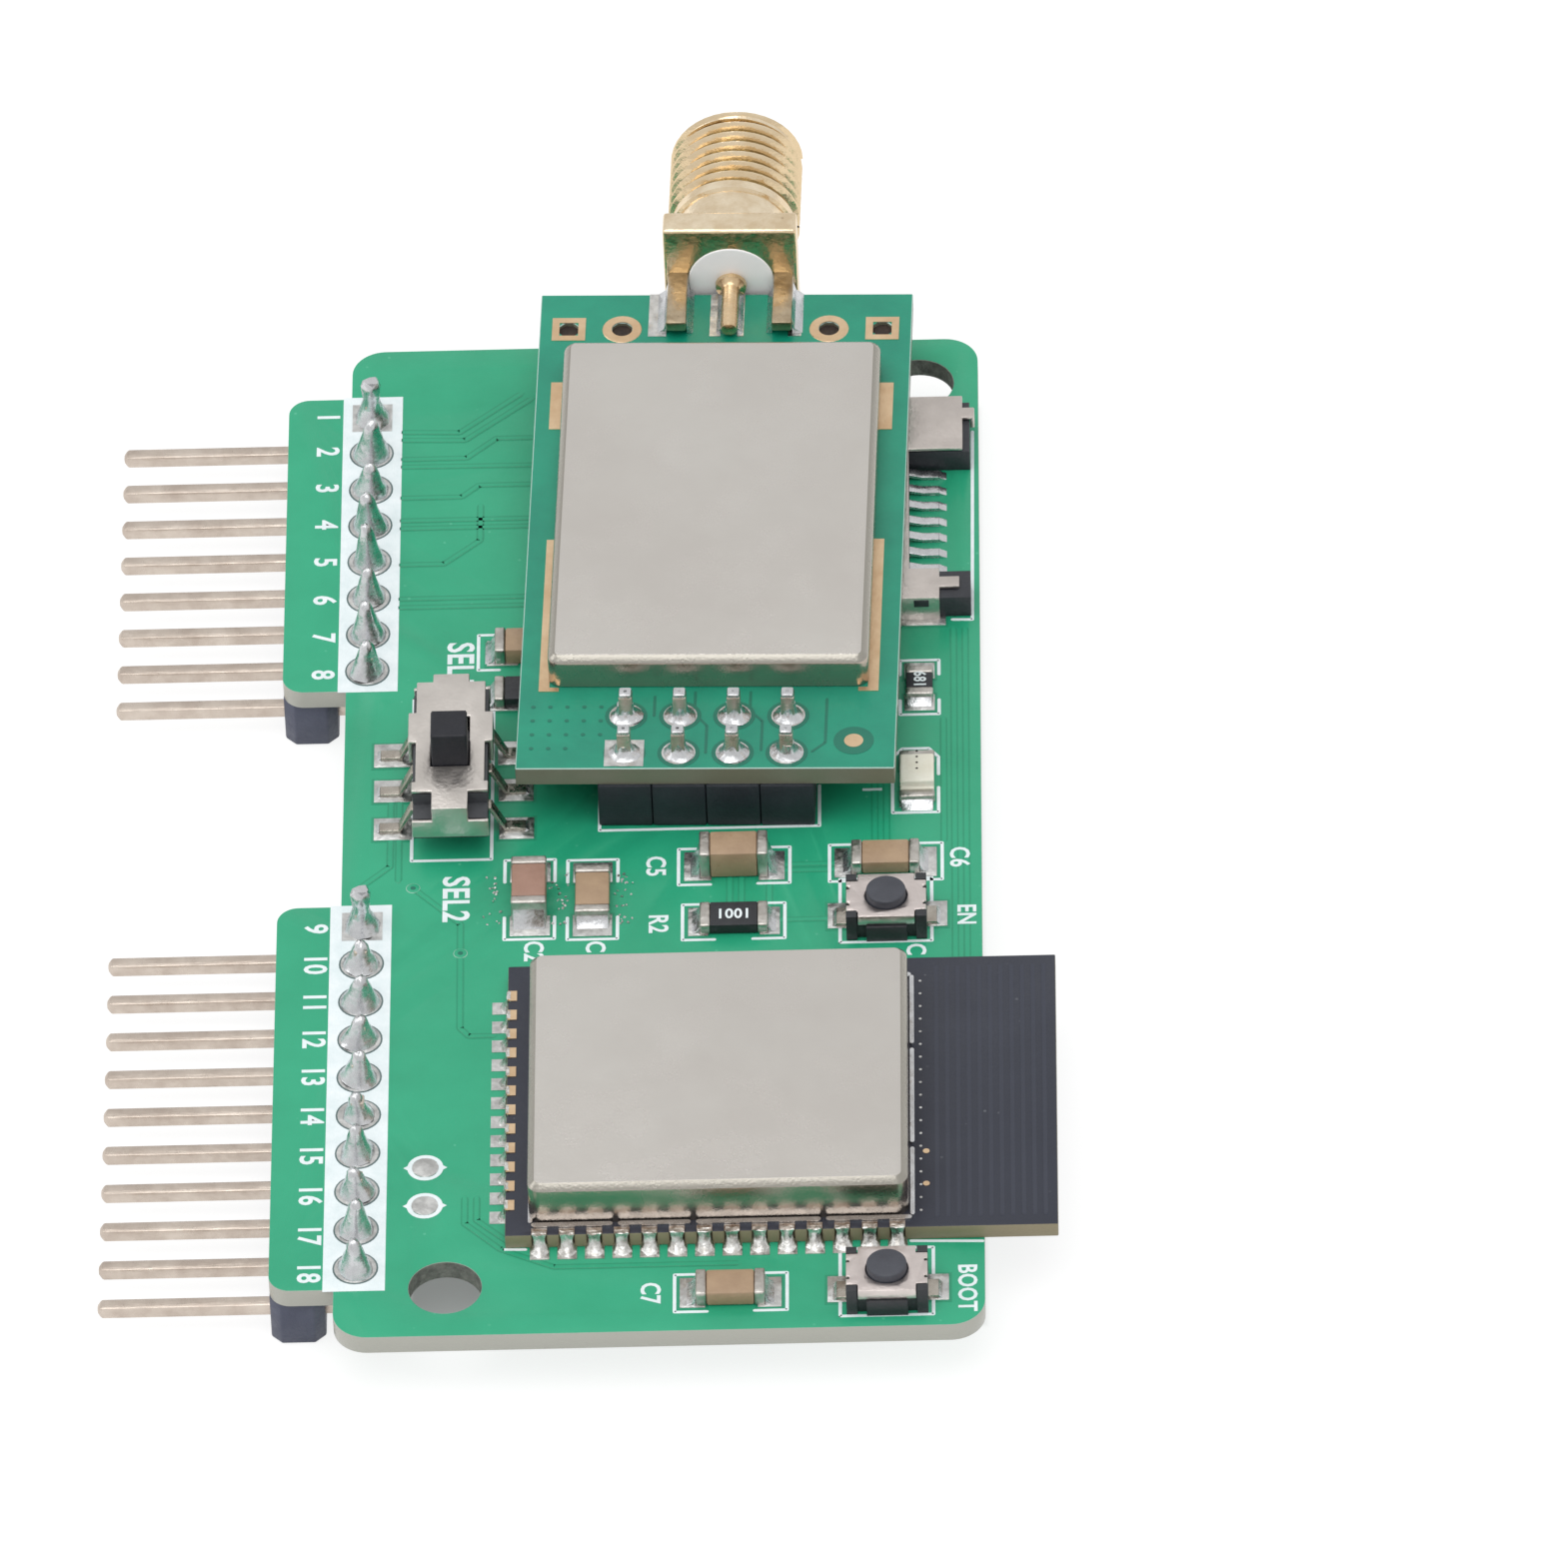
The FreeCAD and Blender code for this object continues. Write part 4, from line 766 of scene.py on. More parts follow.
# The pale rim on the radio board's rounded edge is a painted highlight; the edge colour is the board's own.
TEAL = Finish("teal_lacquer", (6, 130, 104), (16, 144, 114), 260, 0.0, (0.3, 0.42), 0.06, 3200, coat=0.15,
              edge=(124, 124, 106), rim=(168, 198, 188), slot="radio_green")
DARK_TEAL = Finish("lacquer_gap", (4, 104, 84), (10, 112, 90), 260, 0.0, (0.3, 0.42), 0.06, 3200, coat=0.15)
BLACK_BOARD = Finish("black_lacquer", (32, 36, 50), (38, 42, 56), 160, 0.0, (0.4, 0.5), 0.1, 3200, coat=0.1,
                     edge=(150, 140, 112), speck=(130, 132, 138), speck_share=0.3, slot="module_black")
ANTENNA = Finish("black_lacquer_line", (40, 44, 58), (46, 50, 64), 160, 0.0, (0.38, 0.48), 0.1, 3200,
                 coat=0.1)
# Painted shade: the shields' sides get a darker brownish colour, and the rounding along their top edge gets a
# darker colour where the lamp's highlight falls.
SHIELD = Finish("shield_metal", (216, 212, 206), (210, 205, 199), 120, 1.0, (0.23, 0.29), 0.22, 8000,
                edge=(190, 176, 163), rim=(168, 164, 155), band=0.88, slot="shield_metal")
GOLD = Finish("gold_plate", (236, 208, 172), (220, 188, 150), 700, 1.0, (0.28, 0.4), 0.15, 5000)
# Painted shade: the jack's sides, such as the flange's front, get a darker brass colour.
BRASS = Finish("jack_brass", (248, 232, 204), (226, 204, 170), 900, 1.0, (0.14, 0.26), 0.16, 3000,
               speck=(130, 98, 62), speck_share=0.7, edge=(232, 208, 170), band=0.9, slot="jack_brass")
# Painted shade: the thread's roots get a darker brass than the body, for the shade in the thread's valleys.
THREAD_ROOT_SHADE = Finish("dark_brass", (134, 112, 72), (186, 166, 122), 1500, 1.0, (0.2, 0.36), 0.3, 3000,
                    slot="jack_brass")
# The legs are the body's brass, given a darker colour as painted shade and a rougher finish.
SHADED_LEG_BRASS = Finish("dull_brass", (198, 182, 156), (158, 140, 114), 900, 1.0, (0.26, 0.4), 0.25, 3000,
                   speck=(120, 92, 66), speck_share=0.5, slot="jack_brass")
CONTACT = Finish("contact_gold", (232, 206, 168), (204, 172, 130), 700, 1.0, (0.18, 0.3), 0.12, 5000,
                 slot="contact_gold")
PTFE = Finish("jack_white", (253, 253, 254), (248, 248, 250), 400, 0.0, (0.4, 0.5), 0.1, 4000,
              slot="jack_white")
HEADER_BLACK = Finish("header_black", (66, 70, 88), (78, 82, 100), 600, 0.0, (0.4, 0.55), 0.3, 5200,
                      speck=(120, 122, 126), speck_share=0.3, slot="header_black")
CHIP_BLACK = Finish("chip_black", (24, 30, 38), (32, 38, 46), 700, 0.0, (0.5, 0.6), 0.3, 6000,
                    slot="chip_black")
CRYSTAL = Finish("crystal_metal", (200, 200, 200), (180, 180, 180), 500, 1.0, (0.3, 0.4), 0.1, 6000,
                 slot="crystal_metal")
SILK = Finish("white_print", (232, 240, 242), (218, 230, 232), 900, 0.0, (0.5, 0.6), 0.3, 6000)
COVER = Finish("switch_metal", (220, 214, 208), (204, 198, 192), 420, 1.0, (0.3, 0.44), 0.25, 5200,
               slot="switch_metal")
SWITCH_PLASTIC = Finish("switch_plastic", (54, 56, 60), (62, 64, 68), 600, 0.0, (0.45, 0.6), 0.3, 5200,
                        slot="switch_plastic")
KNOB = Finish("knob_grey", (12, 14, 24), (20, 22, 32), 700, 0.0, (0.5, 0.6), 0.2, 5200, slot="knob_grey")
LEAD = Finish("lead_tin", (190, 184, 174), (164, 156, 146), 1100, 1.0, (0.2, 0.4), 0.25, 4200,
              slot="lead_tin")
BUTTON_METAL = Finish("button_metal", (222, 212, 208), (206, 196, 192), 500, 1.0, (0.28, 0.42), 0.22, 5200,
                      slot="button_metal")
BUTTON_BLACK = Finish("button_black", (36, 38, 42), (44, 46, 50), 700, 0.0, (0.42, 0.55), 0.3, 5200,
                      slot="button_black")
PLUNGER = Finish("plunger_grey", (58, 60, 68), (68, 70, 78), 700, 0.0, (0.45, 0.6), 0.3, 5200,
                 slot="plunger_grey")
SOCKET_BLACK = Finish("socket_plastic", (38, 40, 46), (46, 48, 54), 700, 0.0, (0.45, 0.6), 0.3, 5200,
                      slot="socket_plastic")
SOCKET_METAL = Finish("socket_metal", (214, 206, 200), (196, 188, 182), 420, 1.0, (0.26, 0.4), 0.2, 5200,
                      slot="socket_metal")
SPRING = Finish("spring_steel", (186, 186, 186), (170, 170, 170), 500, 1.0, (0.25, 0.35), 0.1, 5000,
                slot="spring_steel")
TAN = Finish("ceramic_tan", (170, 144, 116), (158, 132, 106), 900, 0.0, (0.35, 0.5), 0.3, 5200,
             speck=(150, 118, 84), speck_share=0.5, slot="ceramic_tan")
BROWN = Finish("ceramic_brown", (158, 124, 108), (148, 114, 98), 900, 0.0, (0.35, 0.5), 0.3, 5200,
               slot="ceramic_brown")
RESISTOR = Finish("resistor_black", (34, 35, 40), (42, 43, 48), 900, 0.0, (0.35, 0.5), 0.25, 5200,
                  slot="resistor_black")
CAP_TIN = Finish("cap_tin", (206, 202, 196), (176, 171, 164), 1500, 1.0, (0.3, 0.45), 0.3, 3000,
                 slot="cap_tin")
LED = Finish("led_body", (232, 230, 216), (222, 218, 200), 900, 0.0, (0.3, 0.45), 0.2, 5200,
             slot="led_body")


# Sub-assemblies

# Rounding, segments and angle for what is bent from thin spring steel
THIN = (0.008, 1, 80.0)


class Assembly:
    """A group of pieces that share a place on the board."""

    place: Place = Place()

    def show(self, piece: bpy.types.Object, finish: Finish, *nodes: str,
             body: str = "board") -> bpy.types.Object:
        """Finish a piece, let it stand for its solids and let it move with a body.

        Args:
            piece: The piece, already in place.
            finish: Its finish.
            *nodes: The solids that it stands for.
            body: The body that it moves with.

        Returns:
            The same piece.
        """
        finish.dress(piece)
        if nodes:
            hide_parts(*nodes)
        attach(piece, body)
        log.info("%s: %d faces", piece.name, len(piece.data.polygons))
        return piece

    def soften(self, node: str, width: float, finish: Finish, body: str = "board",
               segments: int = 2) -> bpy.types.Object:
        """Round a solid's edges and show it in a finish.

        Args:
            node: The solid's name.
            width: The rounding's width in millimetres.
            finish: The finish.
            body: The body that it moves with.
            segments: How many faces cross each rounding.

        Returns:
            The rounded piece.
        """
        return self.show(softened(node, width, segments), finish, node, body=body)

    def set_down(self, name: str, loose: list[bpy.types.Object], finish: Finish,
                 *nodes: str) -> bpy.types.Object:
        """Join loose shapes of this group's own frame, carry them to the board and show them.

        Args:
            name: The piece's name.
            loose: The shapes.
            finish: The finish.
            *nodes: The solids that it stands for.

        Returns:
            The piece.
        """
        return self.show(send(merge(name, loose), self.place), finish, *nodes)


def bracket(x0: float, y0: float, x1: float, y1: float, reach: float, along: str = "Y") -> list[list[Flat]]:
    """The two brackets that hold a part's outline on the board.

    Args:
        x0: Left side, in millimetres.
        y0: Near side.
        x1: Right side.
        y1: Far side.
        reach: How far each bracket's arms reach.
        along: The axis that the arms lie along.

    Returns:
        Two lines.
    """
    if along == "Y":
        return [[(x0, y1 - reach), (x0, y1), (x1, y1), (x1, y1 - reach)],
                [(x0, y0 + reach), (x0, y0), (x1, y0), (x1, y0 + reach)]]
    return [[(x0 + reach, y1), (x0, y1), (x0, y0), (x0 + reach, y0)],
            [(x1 - reach, y1), (x1, y1), (x1, y0), (x1 - reach, y0)]]


# The header rows: the pins' column, their pitch and the first pin of each row, in millimetres
PIN_COLUMN = -15.15
PITCH = 2.54
ROW_A = 11.24
ROW_B = -29.2

# Where the radio board stands on the carrier
RADIO_PLACE = Place(1.05, 2.52, 0.0, -1.67)

# How far a bare pad stands above its board, in millimetres
PAD = 0.03

# The chip parts' pads on the carrier: left, near, right and far side, in millimetres
FEET = ((-8.25, -7.25, -6.35, -5.9), (-8.25, -3.6, -6.35, -2.25), (-5.3, -7.35, -3.45, -5.9),
        (-5.3, -3.7, -3.45, -2.35), (-0.1, -3.75, 1.2, -1.8), (3.4, -3.8, 4.62, -1.85),
        (6.95, -3.75, 8.0, -1.75), (10.7, -3.8, 11.75, -1.8), (0.1, -7.5, 1.05, -5.6),
        (3.45, -7.5, 4.4, -5.65), (-0.2, -32.3, 1.0, -30.35), (3.4, -32.35, 4.5, -30.4),
        (10.25, 7.6, 11.7, 8.7), (10.25, 9.8, 11.7, 10.9), (10.0, 0.95, 11.5, 2.0), (10.0, 3.5, 11.5, 4.6),
        (-9.5, 11.37, -8.0, 13.1), (-9.45, 8.24, -8.0, 9.98), (-14.75, 4.5, -12.9, 6.1),
        (-14.72, 2.1, -12.9, 3.6), (-14.7, -0.5, -12.9, 1.0), (-8.9, 4.5, -7.2, 6.1), (-8.85, 2.0, -7.2, 3.5),
        (-8.8, -0.6, -7.15, 0.85), (6.63, -7.2, 7.73, -5.5), (11.13, -7.2, 12.23, -5.5),
        (6.6, -32.15, 7.7, -30.45), (11.1, -32.15, 12.2, -30.45), (9.8, 13.5, 12.25, 14.5))


@dataclass(frozen=True)
class CarrierBoard(Assembly):
    """The green carrier with its print and tracks."""

    top: float = 1.0
    line: float = 0.16
    column: float = PIN_COLUMN
    pitch: float = PITCH
    row_a: float = ROW_A
    row_b: float = ROW_B
    holes: tuple[Flat, ...] = ((-12.0, -25.17), (-12.0, -22.65))
    vias: tuple[Flat, ...] = ((-12.8, -3.8), (-10.53, -8.3))

    def build(self) -> None:
        """Build the board, the strips, the print, the tracks and the pads."""
        self.soften("carrier_board", 0.06, GREEN)
        self.strips()
        self.outlines()
        self.legends()
        self.tracks()
        self.pads()

    def strips(self) -> None:
        """White strips under the two header rows."""
        made = [
            block("strip", (-16.54, 9.78, self.top), (-13.7, 30.5, self.top + 0.012)),
            block("strip", (-16.65, -30.7, self.top), (-13.77, -4.9, self.top + 0.012)),
        ]
        self.set_down("header_strips", made, SILK)

    def outlines(self) -> None:
        """Printed outlines of the parts."""
        lines = [*bracket(-8.5, -7.45, -6.15, -2.05, 1.5), *bracket(-5.55, -7.55, -3.2, -2.15, 1.5),
                 *bracket(-0.36, -4.0, 4.86, -1.55, 1.5, "X"), *bracket(-0.16, -7.75, 4.63, -5.35, 1.5, "X"),
                 *bracket(6.72, -4.0, 12.0, -1.5, 1.5, "X"), *bracket(-0.43, -32.55, 4.75, -30.1, 1.5, "X"),
                 *bracket(10.06, 7.35, 11.9, 11.1, 1.0),
                 [(-12.9, 9.19), (-12.9, -1.95), (-9.14, -1.95), (-9.14, 9.19), (-12.9, 9.19)],
                 [(7.21, -8.15), (11.5, -8.15), (11.5, -3.85), (7.21, -3.85), (7.21, -8.15)],
                 [(7.19, -33.05), (11.48, -33.05), (11.48, -28.64), (7.19, -28.64), (7.19, -33.05)],
                 [(11.85, 2.3), (11.85, 0.6), (9.69, 0.6), (9.69, 4.4), (10.15, 5.0), (11.4, 5.0),
                  (11.85, 4.4), (11.85, 3.2)], [(-4.08, 2.6), (-4.08, -0.15), (6.25, -0.15), (6.25, 2.6)],
                 [(13.57, 27.08), (13.5, 13.86), (12.55, 13.89)], [(10.46, -28.2), (13.76, -28.31)],
                 [(-8.3, -28.18), (-7.31, -28.21)],
                 [(-8.9, 11.1), (-9.9, 11.1), (-9.9, 13.54), (-8.9, 13.54)]]
        made = [run for line in lines for run in ribbon(line, self.line, self.top, self.top + 0.014)]
        self.set_down("part_outlines", made, SILK)

    def legends(self) -> None:
        """Pin numbers, part numbers and switch names."""
        made = []
        for number, y in enumerate((29.15, 26.7, 24.11, 21.53, 18.9, 16.24, 13.62, 11.04), 1):
            made.append(lettering(str(number), -17.3, y, 1.5, self.top))
        for number, y in enumerate((-6.43, -8.82, -11.38, -13.81, -16.36, -18.96, -21.63, -24.29, -26.93,
                                    -29.43), 9):
            made.append(lettering(str(number), -17.35, y, 1.5, self.top))
        for text, x, y, size in (("C5", -1.46, -2.68, 1.2), ("R2", -1.33, -6.6, 1.2),
                                 ("C6", 12.78, -2.5, 1.2), ("EN", 13.09, -6.43, 1.15),
                                 ("BOOT", 13.01, -31.36, 1.15), ("C7", -1.58, -31.26, 1.2),
                                 ("C2", -7.15, -8.27, 1.2), ("C1", -4.26, -8.36, 1.2),
                                 ("C", 10.72, -8.72, 1.2), ("SEL1", -10.8, 11.51, 1.65),
                                 ("SEL2", -10.84, -4.62, 1.65), ("1", 8.68, 2.25, 1.2)):
            made.append(lettering(text, x, y, size * 1.06, self.top))
        self.set_down("board_legends", made, SILK)

    def tracks(self) -> None:
        """Copper tracks that stand out under the lacquer."""
        lines = [[(-13.6, 27.96), (-10.96, 27.86), (-8.11, 30.47)],
                 [(-13.6, 27.4), (-10.7, 27.3), (-7.6, 30.1)],
                 [(-13.6, 26.04), (-10.6, 26.04), (-9.2, 27.4), (-7.55, 27.4)],
                 [(-13.6, 25.5), (-7.3, 25.45)], [(-13.6, 23.3), (-10.8, 23.3), (-10.0, 24.1), (-7.3, 24.1)],
                 [(-13.6, 21.7), (-7.3, 21.7)], [(-13.6, 21.15), (-7.3, 21.15)],
                 [(-13.6, 18.6), (-11.6, 18.6), (-9.9, 20.2), (-9.9, 22.6)], [(-13.6, 16.2), (-7.3, 16.2)],
                 [(-13.6, 15.6), (-7.3, 15.6)], [(-14.6, 3.6), (-13.9, 2.9), (-13.9, -2.3), (-15.2, -3.6)],
                 [(-13.5, 3.0), (-13.5, -3.2)],
                 [(-10.15, -24.78), (-10.15, -26.4), (-8.5, -28.14), (-6.0, -29.4), (2.4, -29.4)],
                 [(-9.6, -24.78), (-9.6, -26.2), (-8.1, -27.7)], [(12.1, 7.0), (12.1, -1.3)],
                 [(12.6, 13.2), (12.6, -9.9)], [(13.15, 13.2), (13.15, -9.9)],
                 [(-12.8, -3.8), (-10.55, -6.3), (-10.5, -13.35), (-10.1, -13.9), (-9.0, -13.9)],
                 [(9.4, 2.9), (9.4, -1.6)], [(8.85, 2.9), (8.85, -1.6)], [(4.6, -2.75), (7.0, -2.75)],
                 [(4.6, -3.15), (7.0, -3.15)], [(4.4, -6.5), (6.8, -6.5)], [(2.05, -3.6), (2.05, -5.5)],
                 [(2.6, -3.6), (2.6, -5.5)], [(3.9, -3.6), (3.9, -5.5)]]
        made = [run for line in lines for run in ribbon(line, 0.36, self.top - 0.005, self.top + 0.006)]
        self.set_down("track_edges", made, TRACK)
        made = [run for line in lines for run in ribbon(lengthened(line, 0.14), 0.2, self.top - 0.005,
                                                        self.top + 0.012)]
        made += [turned("via", [(0.34, 0.0), (0.3, 0.02)], 16, at=(x, y, self.top)) for x, y in self.vias]
        self.set_down("board_tracks", made, GREEN)
        made = [turned("via", [(0.13, 0.0), (0.13, 0.024)], 10, at=(x, y, self.top)) for x, y in self.vias]
        self.set_down("board_via_holes", made, DARK_TEAL)

    def pads(self) -> None:
        """Tinned rings of the header holes and of the two test holes, the mounting holes' walls, and the chip
        parts' pads.
        """
        made = [turned("ring", [(0.62, 0.0), (0.62, 0.03), (0.5, 0.05)], 28, at=(x, y, self.top))
                for x, y in self.holes]
        self.set_down("test_rings", made, TIN)
        # The mounting holes' walls, in a dark colour that paints the shade inside them.
        wall = [(1.68, 0.02), (1.68, 0.97), (1.73, 0.97), (1.73, 0.02)]
        made = [turned("wall", wall, 40, at=(x, y, 0.0), closed=False)
                for x, y in ((-11.0, -30.6), (11.0, 30.6))]
        self.set_down("hole_walls", made, WALL_SHADE)
        white = [(0.64, 0.0), (0.64, 0.016), (0.84, 0.016), (0.84, 0.0)]
        made = [turned("halo", white, 28, at=(x, y, self.top), closed=False) for x, y in self.holes]
        for x, y in self.holes:
            point = turned("point", [(1.02, 0.0), (1.02, 0.014)], 4, at=(x, y, self.top))
            there, back = (Matrix.Translation((0, way * y * MM, 0)) for way in (1, -1))
            point.data.transform(there @ Matrix.Diagonal((1, 0.7, 1, 1)) @ back)
            made.append(point)
        self.set_down("test_halos", made, SILK)
        rows = [first + self.pitch * i for first, count in ((self.row_a, 7), (self.row_b, 9))
                for i in range(count)]
        made = [turned("pad", [(0.98, 0.0), (0.98, 0.025), (0.9, 0.03)], 28,
                       at=(self.column, y, self.top + 0.005)) for y in rows]
        for y in (self.row_a + self.pitch * 7, self.row_b + self.pitch * 9):
            made.append(block("pad", (self.column - 0.95, y - 0.95, self.top),
                              (self.column + 0.95, y + 0.95, self.top + PAD)))
        self.set_down("header_pads", made, TIN)
        made = [turned("halo", [(1.06, 0.0), (1.06, 0.016), (0.9, 0.016)], 28, at=(self.column, y, self.top))
                for y in rows]
        self.set_down("pad_halos", made, HALO)
        feet = [block("foot", (x0, y0, self.top), (x1, y1, self.top + 0.05), 0.03) for x0, y0, x1, y1 in FEET]
        self.set_down("part_pads", feet, TIN)
        gaps = [block("gap", (x0 - 0.12, y0 - 0.12, self.top), (x1 + 0.12, y1 + 0.12, self.top + 0.01))
                for x0, y0, x1, y1 in FEET]
        self.set_down("part_pad_gaps", gaps, TRACK)


@dataclass(frozen=True)
class PinHeader(Assembly):
    """A row of right-angle pins with its plastic block and its solder."""

    letter: str
    first: float
    count: int
    reach: float = 1.0
    column: float = PIN_COLUMN
    pitch: float = PITCH

    def build(self) -> None:
        """Build the block, the pins and the solder."""
        node = f"header_{self.letter}"
        self.soften(f"{node}_block", 0.08, HEADER_BLACK)
        self.soften(f"{node}_pins", 0.07, PIN)
        rings = [(0.88, 0.0), (0.84, 0.1), (0.7, 0.42), (0.55, 0.82), (0.44, 1.22), (0.35, 1.6), (0.22, 1.92),
                 (0.05, 2.02)]
        rings = [(radius, height * self.reach) for radius, height in rings]
        spots = [(self.column, self.first + self.pitch * i, 1.02) for i in range(self.count - 1)]
        made = crumpled(copies(turned("cone", rings, 16), spots, 0.12, seed=self.count), 0.035)
        tall = [(0.86, 0.0), (0.74, 0.3), (0.5, 0.7), (0.4, 1.2), (0.42, 1.7), (0.46, 2.1), (0.3, 2.35)]
        end = self.column, self.first + self.pitch * (self.count - 1), 1.02
        last = crumpled(turned("cone", tall, 9, at=end), 0.08)
        self.show(merge(f"{node}_spikes", [made, last]), SOLDER, f"{node}_solder")


@dataclass(frozen=True)
class Radio(Assembly):
    """The radio board on its pin header, with its shield."""

    place: Place = RADIO_PLACE
    top: float = 4.54
    pitch: float = PITCH
    hole_row: float = 28.38

    def grid(self) -> list[Flat]:
        """The eight pins."""
        return [((column - 1.5) * self.pitch, (row - 0.5) * self.pitch) for column in range(4)
                for row in range(2)]

    def build(self) -> None:
        """Build the boards, pins, solder, shield, pads and the parts inside."""
        self.soften("radio_board", 0.11, TEAL, segments=1)
        cells = [block("cell", (left + 0.01, -2.5, 1.0), (left + 2.53, 2.5, 3.54), 0.1)
                 for left in (-5.08, -2.54, 0.0, 2.54)]
        self.set_down("radio_header_cells", cells, CHIP_BLACK, "radio_header_block")
        self.soften("radio_header_pins", 0.07, PIN)
        for node, finish in (("radio_chip", CHIP_BLACK), ("radio_amplifier", CHIP_BLACK),
                             ("radio_crystal", CRYSTAL)):
            self.soften(node, 0.06, finish)
        self.soften("radio_shield", 0.09, SHIELD)
        rings = [(0.76, 0.0), (0.68, 0.07), (0.52, 0.18), (0.42, 0.36), (0.37, 0.58), (0.34, 0.78)]
        spots = [(x, y, self.top + 0.01) for x, y in self.grid()]
        above = crumpled(copies(turned("cone", rings, 16), spots, 0.1, 3), 0.03)
        tips = [block("tip", (x - 0.3, y - 0.3, self.top), (x + 0.3, y + 0.3, self.top + 1.6), 0.1)
                for x, y in self.grid()]
        self.set_down("radio_spikes", [above, *tips], SOLDER, "radio_header_solder")
        below = turned("cone", [(radius, -height) for radius, height in rings], 18)
        below = copies(below, [(x, y, 0.0) for x, y in self.grid()], 0.08)
        self.set_down("radio_spikes_below", [below], SOLDER, "radio_header_solder_below")
        self.pads()

    def pads(self) -> None:
        """Bare pads, rings, strips and the copper dot on the radio board."""
        top = self.top
        made = [block("pad", (-4.75, -2.2, top), (-2.9, -0.4, top + PAD))]
        made += [turned("pad", [(0.8, 0.0), (0.8, 0.03)], 24, at=(x, y, top)) for x, y in self.grid()[1:]]
        made += [block("strip", (x0, 27.85, top), (x1, 30.85, top + PAD))
                 for x0, x1 in ((-3.7, -2.83), (3.0, 3.63), (-0.76, -0.24), (0.58, 0.87))]
        self.set_down("radio_tin", made, TIN)
        gold = [turned("dot", [(0.45, 0.0), (0.45, 0.02)], 24, at=(6.93, -0.46, top))]
        pads = ((-8.2, 21.28, -7.5, 24.6), (7.5, 21.2, 8.15, 24.5), (-8.0, 2.95, -7.5, 13.5),
                (7.5, 2.95, 8.0, 13.5), (-7.495, 2.95, -7.05, 3.22), (7.05, 2.95, 7.495, 3.22))
        gold += [block("pad", (x0, y0, top), (x1, y1, top + PAD)) for x0, y0, x1, y1 in pads]
        ring = [(0.5, 0.0), (0.5, 0.03), (0.92, 0.03), (0.95, 0.0)]
        gold += [turned("ring", ring, 24, at=(x, self.hole_row, top), closed=False) for x in (-4.95, 4.95)]
        self.set_down("radio_gold", gold, GOLD)
        dark = [turned("halo", [(0.46, 0.0), (0.46, 0.012), (0.95, 0.012), (0.95, 0.0)], 24,
                       at=(6.93, -0.46, top), closed=False)]
        dark += [turned("halo", [(0.8, 0.0), (0.8, 0.01), (1.0, 0.01), (1.0, 0.0)], 24, at=(x, y, top),
                        closed=False) for x, y in self.grid()]
        dark += [turned("via", [(0.11, 0.0), (0.11, 0.012)], 10,
                        at=(-8.2 + 0.8 * (i % 5), 1.9 - 0.95 * (i // 5), top)) for i in range(18)]
        for line in ([(-2.5, 1.27), (-2.5, 2.6)], [(0.0, -1.27), (0.0, 0.6), (-0.6, 1.4), (-0.6, 2.9)],
                     [(2.6, -1.1), (2.6, 0.9), (2.0, 1.6), (2.0, 2.9)],
                     [(5.0, -1.2), (5.6, -0.6), (5.6, 2.4)]):
            dark += ribbon(line, 0.14, top, top + 0.008)
        self.set_down("radio_dark_marks", dark, DARK_TEAL)
        frames = []
        for x in (-7.5, 7.5):
            y = self.hole_row
            for x0, y0, x1, y1 in ((-0.8, 0.45, 0.8, 0.8), (-0.8, -0.8, 0.8, -0.45),
                                   (-0.8, -0.45, -0.45, 0.45), (0.45, -0.45, 0.8, 0.45)):
                frames.append(block("side", (x + x0, y + y0, top), (x + x1, y + y1, top + PAD)))
        self.set_down("radio_square_rings", frames, GOLD)
        # Dark discs just below the top of the holes paint the shade inside them.
        dark = [turned("dark", [(0.52, -0.3), (0.52, -0.2)], 16, at=(x, self.hole_row, top))
                for x in (-7.5, -4.95, 4.95, 7.5)]
        self.set_down("radio_hole_depths", dark, DARK_DOTS_AND_HOLE_SHADE)


